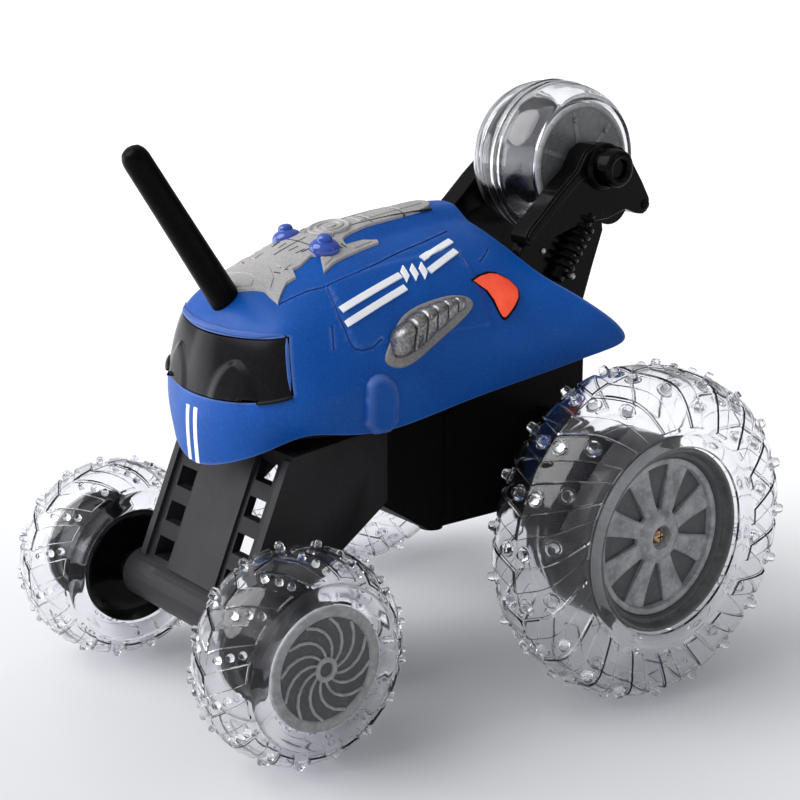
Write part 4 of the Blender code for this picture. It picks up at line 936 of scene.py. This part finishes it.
def trim_on_shell():
    bm = bmesh.new()
    corner = ((29.6, -103.6, 127.2), (26.2, -106.6, 127), (22, -108.8, 126.2), (11, -112.2, 125.7))
    brow = [car_point(RIGHT, *point) for point in corner] + [car_point(LEFT, 0, -114.2, 126.1)]
    brow += [car_point(LEFT, *point) for point in reversed(corner)]
    ribbon(bm, trace(brow), 1.9, 0.75, 0.4, crown=0.6, taper=10)
    for side in (LEFT, RIGHT):
        edge = ((29.9, -103.9, 127), (32.4, -105.3, 119.6), (34.6, -105.9, 110.6))
        ribbon(bm, trace([car_point(side, *point) for point in edge]), 1.1, 0.3, crown=0.6, taper=4)
    piece("window_brow", bm, [BLUE], crease=50)

    bm = bmesh.new()
    bars = (
        ((32.15, -85, 132.3), (28.9, -59.9, 139.2)), ((35, -85.2, 128.4), (32.2, -60.4, 135.9)),
        ((25.5, -48.4, 142.5), (20.6, -32.4, 146)), ((29.5, -48.7, 139.2), (24.9, -34, 143.2)),
    )
    for side in (LEFT, RIGHT):
        for start, stop in bars:
            ribbon(bm, trace([car_point(side, *start), car_point(side, *stop)]), **STRIPE)
    piece("shoulder_stripes", bm, [WHITE], crease=50)

    bm = bmesh.new()
    for x in (-3.4, 1.2):
        path = [Vector((x, REAR_Y - 119, 100.4)), Vector((x, REAR_Y - 119.8, 81.4))]
        ribbon(bm, trace(path), 2.1, 0.12, crown=0.9)
    piece("nose_stripes", bm, [WHITE], crease=50)

    bm = bmesh.new()
    for side in (LEFT, RIGHT):
        badge_spot, badge_normal = on_skin(car_point(side, 28.6, -54.2, 139.2))
        axes = side_axes(badge_normal)
        for shift in (-3.6, 0, 3.6):
            outline = [(shift - 1.1, -3.4), (shift + 1.1, -1.2), (shift + 1.1, 3.4),
                       (shift - 1.1, 1.2)]
            patch(bm, badge_spot, axes, outline, 0.62, 0.15, fine=1.5, sink=0.3)
    piece("shoulder_chevrons", bm, [WHITE], crease=50)


def windshield():
    bm = skin_part(True)
    ring = bmesh.ops.inset_region(bm, faces=bm.faces, thickness=0.5 * MM,
                                  use_boundary=True)["faces"]
    bmesh.ops.delete(bm, geom=ring, context="FACES")
    bm.normal_update()
    for vert in bm.verts:
        x, z = vert.co.x / MM, vert.co.z / MM
        reach = ARCH_HALF * sqrt(max(0, 1 - max(0, (z - ARCH_FOOT) / ARCH_TALL) ** 2))
        rise = ease(reach - abs(abs(x) - ARCH_AT), 0, ARCH_RAMP) if z < ARCH_FOOT + ARCH_TALL else 0
        vert.co += vert.normal * (rise * ARCH_RISE - 0.15) * MM
    bmesh.ops.scale(bm, vec=(1 / MM, 1 / MM, 1 / MM), verts=bm.verts)
    pane = piece("smoke_windshield", bm, [SMOKE], CAR, ["windshield"], 50)
    for poly in pane.data.polygons:
        poly.material_index = 0
    thicken(pane, PANE_THICK)


LAMP_SPOT, LAMP_NORMAL = (37.2, -27, 130.3), (0.86, 0.06, 0.5)
LAMP_OUTLINE = [(-6.8, 6), (-2.8, 7.4), (1.6, 8), (4.5, 7.4), (7.7, 5.2), (9.8, 2.4), (10.3, 0.2),
                (9.1, -2.4), (6.2, -5), (2.6, -7.4), (1.3, -8), (0.2, -7.6), (-0.3, -6.2),
                (-0.9, -1.4), (-2.2, 2), (-4.4, 4)]
EXHAUST_SPOT, EXHAUST_NORMAL = (41, -55, 121.5), (0.9, 0.02, 0.43)
EXHAUST_OUTLINE = [(-20.1, -3.8), (-18.7, -1.4), (-16.4, 1.8), (-13.6, 5.4), (-10.4, 8), (-5.6, 10),
                   (-0.5, 11), (5, 11.7), (10.4, 12), (15.2, 11.2), (17.9, 9.2), (17.5, 7),
                   (14.8, 5), (9.8, 2.4), (2.8, -1), (-4, -4.3), (-9.3, -6.9), (-13.8, -7.9),
                   (-17.4, -7.3), (-19.8, -5.6)]
# Exhaust row at stations along it: (top, bottom, greatest height, height at the bottom)
ROW = ((-17.4, (3.4, -5.2, 6.2, 3)), (-11, (6.6, -4.4, 6.4, 3)), (-5.6, (9, -2.2, 5.9, 2.5)),
       (-0.5, (9.9, 0.5, 4.9, 2)), (4.9, (10.8, 3.2, 3.9, 1.6)), (10.1, (11.2, 5.6, 2.9, 1.3)),
       (14.4, (10.7, 7, 2, 0.9)))


def lamps_and_exhausts():
    for side, word in SIDES:
        spot = car_point(side, *LAMP_SPOT)
        axes = side_axes((side * LAMP_NORMAL[0], *LAMP_NORMAL[1:]))
        bm = bmesh.new()
        patch(bm, spot, axes, LAMP_OUTLINE, 0.9, 0.8, fine=1.6, sink=0.3, dome=0.9)
        piece("lens_" + word, bm, [LENS], CAR, ["lamp_" + word], 60)
        bm = bmesh.new()
        patch(bm, spot, axes, grown(LAMP_OUTLINE, 0.75), 0.35, 0.3, fine=2.5, sink=0.3)
        piece("lens_seat_" + word, bm, [PITCH], crease=50)

        spot = car_point(side, *EXHAUST_SPOT)
        axes = side_axes((side * EXHAUST_NORMAL[0], *EXHAUST_NORMAL[1:]))
        bm = bmesh.new()
        patch(bm, spot, axes, smooth_outline(EXHAUST_OUTLINE, 1), 0.7, 0.6, mat=1, fine=2.2)
        for rib in range(6):
            exhaust_rib(bm, spot, axes, rib)
        piece("exhaust_rows_" + word, bm, [SILVER, SURROUND], CAR,
              ["exhaust_" + word], 50)


def grown(outline, amount):
    """An outline with its points moved outwards from its middle."""
    middle = Vector((sum(a for a, _ in outline), sum(b for _, b in outline))) / len(outline)
    result = []
    for point in outline:
        away = Vector(point) - middle
        result.append(tuple(middle + away * (away.length + amount) / away.length))
    return result


def exhaust_rib(bm, spot, axes, rib):
    """One segment of the exhaust row: flat upright outer face, domed top, rounded ends."""
    out, back, up = axes
    start, stop = ROW[rib][0], ROW[rib + 1][0]
    long = stop - start
    ends = [(0.2, 0.66), (0.38, 0.86), (0.75, 0.96), (1.2, 1), (long - 1.2, 1), (long - 0.75, 0.96),
            (long - 0.38, 0.86), (long - 0.2, 0.66)]
    if rib == 0:
        ends = [(0, 0.12), (0.12, 0.32), (0.45, 0.54), (1, 0.73), (1.8, 0.88),
                (2.8, 0.97)] + ends[4:]
    if rib == len(ROW) - 2:
        ends = ends[:4] + [(long - 1.4, 0.96), (long - 0.6, 0.8), (long - 0.15, 0.52), (long, 0.25)]
    rings = []
    for along, grow in ends:
        a = start + along
        top, low, peak, foot = (table(a, [(key, row[k]) for key, row in ROW]) for k in range(4))
        corner = top - 0.4 * (top - low)
        shape = [(top - (top - corner) * (1 - cos(radians(t))), peak * sin(radians(t)))
                 for t in range(0, 105, 15)]
        shape += [(corner * (1 - k) + (low + 0.6) * k, peak * (1 - k) + (foot + 0.35) * k)
                  for k in (0.3, 0.65, 1)]
        shape += [(low + 0.15, foot * 0.92), (low, foot * 0.55), (low, 0)]
        middle = (top + low) / 2
        ring = []
        for b, lift in shape:
            b = middle + (b - middle) * (0.4 + 0.6 * grow)
            place = skin_along(spot + back * a + up * b, out)
            ring.append(bm.verts.new(place + out * (0.35 + lift * grow)))
        rings.append(ring)
    bridge(bm, rings)


def side_bumps():
    """The rounded bulge low on each side, in front of the middle."""
    outline = [(-6.3, 6.4), (-3, 9.7), (1.6, 9.5), (5.7, 5.4), (5.8, -9.6), (-6.3, -9.6)]
    for side, word in SIDES:
        spot, normal = on_skin(car_point(side, 43, -77.4, 103.4))
        bm = bmesh.new()
        patch(bm, spot, side_axes(normal), smooth_outline(outline, 1), 2.2, 1.7, fine=1.4, sink=0.3)
        piece("side_bump_" + word, bm, [BLUE], crease=60)


# ---------------------------------------------------------------- roof

ROOF_HALF = [(0, -105.6), (2.7, -104.4), (8, -101.6), (12.2, -99.9), (16, -100.1), (19.9, -99.9),
             (17.4, -96.6), (15.6, -93.7), (15.9, -90.2), (12.4, -89.1), (12.7, -86.3),
             (11.2, -80.9), (12.9, -78.9), (19.8, -82.4), (17.8, -77.3), (17.3, -74.7), (16.4, -67),
             (15.1, -57.4), (13.5, -56.8), (12, -61.3), (12.2, -68.3), (10, -68), (8.9, -66.2),
             (8, -62.8), (7, -56.3), (6.8, -45.1), (6.2, -34), (5.2, -29.6), (3.6, -27.2),
             (0, -26.4)]


def roof():
    outline = ROOF_HALF + [(-x, y) for x, y in reversed(ROOF_HALF) if x > 0]
    spot = Vector((0, REAR_Y, 145))
    axes = Vector((0, 0, 1)), Vector((1, 0, 0)), Vector((0, 1, 0))
    bm = bmesh.new()
    patch(bm, spot, axes, outline, 0.8, 0.2, sink=0.3)
    plates = [
        ([(-11, -95.2), (-5.2, -92.7), (0, -92), (5.2, -92.7), (11, -95.2), (14, -98.6),
          (11, -99.2), (5, -98), (0, -97.6), (-5, -98), (-11, -99.2), (-14, -98.6)], 1.15),
        ([(-5, -98.8), (0, -98.3), (5, -98.8), (7, -101), (2.4, -103.4), (-2.4, -103.4),
          (-7, -101)], 1.1),
        ([(-4, -56.6), (4, -56.6), (4, -54), (-4, -54)], 1.05),
        ([(-3.8, -53), (3.8, -53), (3.4, -41), (-3.4, -41)], 1.05),
        ([(-3.3, -40), (3.3, -40), (2.9, -30), (-2.9, -30)], 1.05),
    ]
    side_plates = (
        ([(13.2, -67.6), (15.3, -67), (14.2, -58.8), (13, -61)], 1.15),
        ([(14, -79.2), (17.9, -81), (16.6, -77.4), (15.6, -75.6)], 1.1),
        ([(6, -91), (11, -91.6), (10.6, -88.2), (6.4, -87.6)], 1.1),
    )
    plates += [([(sign * x, y) for x, y in corners], height)
               for sign in (1, -1) for corners, height in side_plates]
    for corners, height in plates:
        patch(bm, spot, axes, corners, height, 0.25, fine=2.2, sink=0.2)
    boss = [(0, -1.5), (1, -1.5), (1, 0.95), (0.95, 1.35), (0.86, 1.35), (0.8, 1), (0.7, 1),
            (0.65, 1.5), (0.54, 1.55), (0.48, 1.1), (0.36, 1.1), (0.32, 1.6), (0, 1.75)]
    for x, y, reach in ((0, -66.4, 7.2), (5.6, -71.6, 2.4), (-5.6, -71.6, 2.4)):
        lathe(bm, [(share * reach, rise) for share, rise in boss],
              aimed(*on_skin((x, REAR_Y + y, 152))), LEFT, 48)
    piece("roof_machinery", bm, [PANEL], CAR, ["roof_panel"], 30)

    bm = bmesh.new()
    side_marks = (
        ((3.2, -86.2), (3.6, -82.4)), ((7.3, -86.2), (7.7, -82.4)),
        ((13.4, -97.8), (10.2, -98.8)), ((10, -95.6), (14.4, -94.6)),
        ((4.6, -60.4), (4.4, -28.6)), ((13.2, -73.6), (15.8, -73)),
        ((13.4, -72), (16, -71.4)), ((13.6, -70.4), (16.2, -69.8)),
        ((8.8, -84.4), (9.2, -80.6)),
    )
    marks = [[(sign * x, y) for x, y in mark] for sign in (1, -1) for mark in side_marks]
    marks += [((-0.3, -90.6), (0, -76.2)), ((-9, -79.6), (9, -79.6)), ((-6.2, -53.5), (6.2, -53.5)),
              ((-6, -40.5), (6, -40.5))]
    for mark in marks:
        ribbon(bm, trace([on_skin((x, REAR_Y + y, 152))[0] for x, y in mark], 1.6), 0.36, 0.88, 0.1)
    piece("roof_lines", bm, [PANEL_DARK], crease=50)


def beacons():
    profile = [(0, -1.5), (4.9, -1.5), (5, 0), (4.9, 0.9), (4.6, 1.6), (4, 2.3), (3.2, 2.8),
               (2.7, 3), (2.5, 3.2), (2.45, 3.7), (2.2, 4.3), (1.7, 4.8), (0.9, 5.1), (0, 5.2)]
    for _, word in SIDES:
        middle = middle_of("beacon_" + word)
        foot, normal = on_skin((middle.x, middle.y, 150))
        bm = bmesh.new()
        lathe(bm, profile, aimed(foot, normal + Vector((0, 0, 1.2))), LEFT, 48)
        piece("dome_" + word, bm, [BLUE_GLOSS], CAR, ["beacon_" + word], 60)


ANTENNA_BASE, ANTENNA_TIP = (0, -105, 131), (0, -138.5, 183)


def antenna():
    base, tip = car_point(LEFT, *ANTENNA_BASE), car_point(LEFT, *ANTENNA_TIP)
    length = (tip - base).length
    profile = [(0, -4), (5.2, -4), (5.25, 0.4), (5.05, 1.4), (5, 2.2), (4.72, 20), (4.5, 40)]
    profile += [(radius, length - short) for radius, short in
                ((4.36, 4.4), (4.2, 3.2), (3.8, 2), (3.1, 0.9), (2, 0.25), (1, 0.05), (0, 0))]
    bm = bmesh.new()
    lathe(bm, profile, aimed(base, tip - base), LEFT, 64)
    piece("antenna_sleeve", bm, [RUBBER], CAR, ["antenna"], 45)


# ---------------------------------------------------------------- arm of the fifth wheel

# Outlines as (y from the rear axle, z)
ARM_PLATE = [(-4.2, 144.6), (-2.1, 147.6), (3.7, 152.6), (11, 159.2), (18.4, 165.2), (22, 171.1),
             (25.8, 173.3), (33.6, 172.8), (40, 171), (45, 165.7), (50.2, 158.2), (53.6, 152.6),
             (54, 150.2), (53, 147.9), (50.8, 146.8), (47.5, 147.4), (42.6, 149.4), (34, 147),
             (22, 146.5), (8, 143), (-1.5, 141.4), (-3.8, 142.4)]
ARM_RAIL = [(-3.6, 144.8), (-1.8, 147.2), (3.9, 152.2), (11.2, 158.8), (18.6, 164.8), (22.2, 170.6),
            (25.9, 172.7), (31, 172.4), (28, 168), (24.9, 163.6), (19, 160.6), (8, 151.6),
            (-1, 143.6), (-3, 143.4)]
ARM_BRACKET = [(-9, 108.9), (-6.5, 125), (-4.3, 136), (-3.3, 138.7), (-0.4, 142.9), (8, 147),
               (20, 150), (34.6, 146), (35.1, 142.4), (30.7, 130.6), (26, 117), (22.5, 113.4)]
SPRING_ENDS = (13, 130.6), (24.9, 147.4)
# Turned parts of the arm as (outline, y from the rear axle, z, sides, material)
BOSS = [(0, 24), (8.2, 24), (8.2, 26.4), (7.7, 27.1), (6.6, 27.5), (6.5, 32.8), (6.2, 33.7),
        (5.6, 34.3), (4.6, 34.5), (3.7, 34.3), (3.2, 33.7), (3, 32.6), (0, 32.4)]
LOBE = [(0, 17.2), (8, 17.2), (8.4, 17.6), (8.4, 21.6), (8, 22), (0, 22)]
KNOB = [(0, 25), (1.9, 25), (1.8, 25.9), (1.3, 26.4), (0, 26.6)]
RIVET = [(0, 21), (1.2, 21), (1.1, 22.5), (0.7, 22.9), (0, 23)]
ARM_TURNED = ((BOSS, FIFTH.y - REAR_Y, FIFTH.z, 48, 0), (LOBE, 38.6, 152.4, 48, 0),
              (KNOB, 51.4, 150.2, 24, 0), (RIVET, 7.1, 138.4, 20, 1), (RIVET, 20.8, 128, 20, 1))
SPRING_X, SPRING_CORE, SPRING_RADIUS, SPRING_WIRE = 23, 3.1, 4.2, 0.85
COIL_TURNS, COIL_STEPS = 7, 24
# Opposite corners of the block that joins both arms, y from the rear axle
ARM_BLOCK = (-20, -6.5, 113), (20, 18, 124)
# Flat parts of each arm as (outline, inner face, outer face)
ARM_LAYERS = ((ARM_PLATE, 17.5, 25.5), (ARM_RAIL, 25.2, 26.6), (ARM_BRACKET, 16.8, 22))


def arms():
    bm = bmesh.new()
    turned = bmesh.new()
    for side in (LEFT, RIGHT):
        for outline, low, high in ARM_LAYERS:
            slab(bm, [(side * low, REAR_Y + y, z) for y, z in outline], (side * (high - low), 0, 0))
        for profile, y, z, segments, mat in ARM_TURNED:
            lathe(turned, profile, Vector((0, REAR_Y + y, z)), side, segments, mat)
        start, stop = (Vector((side * SPRING_X, REAR_Y + y, z)) for y, z in SPRING_ENDS)
        tube(turned, [start.lerp(stop, -0.12), stop.lerp(start, -0.12)], SPRING_CORE, 20)
        across = Vector((side, 0, 0))
        upward = (stop - start).normalized().cross(across)
        coil = []
        for step in range(COIL_TURNS * COIL_STEPS + 1):
            angle = 2 * pi * step / COIL_STEPS
            coil.append(start.lerp(stop, step / (COIL_TURNS * COIL_STEPS))
                        + (across * cos(angle) + upward * sin(angle)) * SPRING_RADIUS)
        tube(turned, coil, SPRING_WIRE, 8)
    block(bm, *(car_point(LEFT, *corner) for corner in ARM_BLOCK))
    rounded(piece("arm_plates", bm, [ARM_BLACK], CAR, ["arm_fork"]), 0.7, 3)
    piece("arm_turned_parts", turned, [ARM_BLACK, STEEL], crease=40)


# ---------------------------------------------------------------- carried-over CAD nodes

# A name that ends in _ stands for every node whose name starts with it
FINISHES = (
    (BLACK, ("chassis_tub", "chassis_deck", "battery_door", "switch_knob", "gearbox_case_")),
    (LEG_BLACK, ("front_leg",)),
    (STEEL, ("rear_shaft_", "front_axle", "fifth_axle", "door_screw", "motor_left", "motor_right",
             "switch_body")),
    (BRASS, ("motor_pinion_",)),
    (NYLON, ("compound_gear_", "final_gear_")),
    (BOARD, ("circuit_board",)),
    (WRAP, ("cell_",)),
    (NICKEL, ("contact_",)),
)
SOFTENED = ("chassis_tub", "chassis_deck", "front_leg", "battery_door", "gearbox_case_left",
            "gearbox_case_right")


def repaint():
    """Gives every CAD node that stays in view its finish, and softens its hard edges."""
    for mat, keys in FINISHES:
        for name, obj in NODES.items():
            if any(name == key or key.endswith("_") and name.startswith(key) for key in keys):
                obj.data.materials.clear()
                obj.data.materials.append(mat)
    for name in SOFTENED:
        rounded(NODES[name], 0.35)


# ---------------------------------------------------------------- stage

FLOOR_HALF = 8000
# Point on the floor about which painted shade darkens the floor colour, in metres
FLOOR_DIM_SPOT = (0.2, -0.12, 0)
KEY_FROM = (-0.4, -0.75, 0.8)
LAMP_TARGET = (0, 0, 0.1)
CAMERA_PLACE = (0.48726, -0.36687, 0.25932)
CAMERA_AIM = (0, 0.01041, 0.08865)
CAMERA_LENS = 84.374


def floor():
    net = Net("floor_painted_shade")
    away = net.add("ShaderNodeVectorMath", [(net.place(), 0)], operation="DISTANCE")
    away.inputs[1].default_value = FLOOR_DIM_SPOT
    spread = away.outputs["Value"]
    # Painted shade: the floor's colour is darker near FLOOR_DIM_SPOT, by the car, and paler away
    # from it
    painted_shade_tone = net.mix(net.span(spread, 0, 1, 0, 0.5), (0.6, 0.61, 0.63), (0.92, 0.92, 0.93))
    net.link(painted_shade_tone, net.bsdf.inputs["Base Color"])
    net.link(net.span(net.noise(8, 3), 0.35, 0.5), net.bsdf.inputs["Roughness"])
    # Painted light: the floor glows more the farther it is from that spot, so the far floor is
    # brighter
    net.link(net.span(spread, 0, 0.3, 0.15, 1.2), net.bsdf.inputs["Emission Strength"])
    net.fixed(Emission_Color=(1, 1, 1, 1), Specular_IOR_Level=0.3)
    bm = bmesh.new()
    bmesh.ops.create_grid(bm, x_segments=8, y_segments=8, size=FLOOR_HALF)
    plane = show("floor", bm)
    plane.data.materials.append(net.mat)


def put(name, data):
    """An object in the scene for a lamp's or a camera's data."""
    obj = bpy.data.objects.new(name, data)
    bpy.context.scene.collection.objects.link(obj)
    return obj


def lamp(name, place, size, power, colour=(1, 1, 1)):
    data = bpy.data.lights.new(name, "AREA")
    data.shape = "RECTANGLE"
    data.size, data.size_y = size
    data.energy = power
    data.color = colour
    obj = put(name, data)
    obj.location = place
    obj.rotation_euler = (Vector(LAMP_TARGET) - Vector(place)).to_track_quat("-Z", "Y").to_euler()


def studio():
    """A world that is brighter towards the key light, a broad sun and two soft boxes."""
    world = bpy.data.worlds.new("studio")
    bpy.context.scene.world = world
    world.use_nodes = True
    tree = world.node_tree
    background = tree.nodes["Background"]
    background.inputs["Color"].default_value = (0.97, 0.98, 1, 1)
    place = tree.nodes.new("ShaderNodeTexCoord")
    split = tree.nodes.new("ShaderNodeVectorMath")
    split.operation = "DOT_PRODUCT"
    split.inputs[1].default_value = Vector(KEY_FROM).normalized()
    ramp = tree.nodes.new("ShaderNodeMapRange")
    for socket, value in (("From Min", -0.7), ("From Max", 0.9), ("To Min", 0.08),
                          ("To Max", 0.75)):
        ramp.inputs[socket].default_value = value
    tree.links.new(place.outputs["Generated"], split.inputs[0])
    tree.links.new(split.outputs["Value"], ramp.inputs["Value"])
    tree.links.new(ramp.outputs["Result"], background.inputs["Strength"])
    data = bpy.data.lights.new("key", "SUN")
    data.energy = 2.5
    data.angle = radians(50)
    put("key", data).rotation_euler = Vector(KEY_FROM).to_track_quat("Z", "Y").to_euler()
    lamp("strip_box", (0.75, 0.45, 0.55), (0.12, 0.5), 0.4)
    lamp("nose_box", (-0.85, -0.62, 0.25), (0.6, 0.5), 2.4, (0.93, 0.95, 1))
    bpy.context.scene.view_settings.view_transform = "Standard"


def camera():
    data = bpy.data.cameras.new("camera")
    data.lens = CAMERA_LENS
    data.sensor_width = 36
    data.clip_start = 0.01
    data.clip_end = 50
    obj = put("camera", data)
    obj.location = CAMERA_PLACE
    ahead = Vector(CAMERA_AIM) - Vector(CAMERA_PLACE)
    obj.rotation_euler = ahead.to_track_quat("-Z", "Y").to_euler()
    bpy.context.scene.camera = obj


for side, word in SIDES:
    rear_wheel(side, word)
    front_wheel(side, word)
fifth_wheel()
body_shell()
side_bumps()
trim_on_shell()
windshield()
lamps_and_exhausts()
roof()
beacons()
antenna()
arms()
repaint()
floor()
studio()
camera()
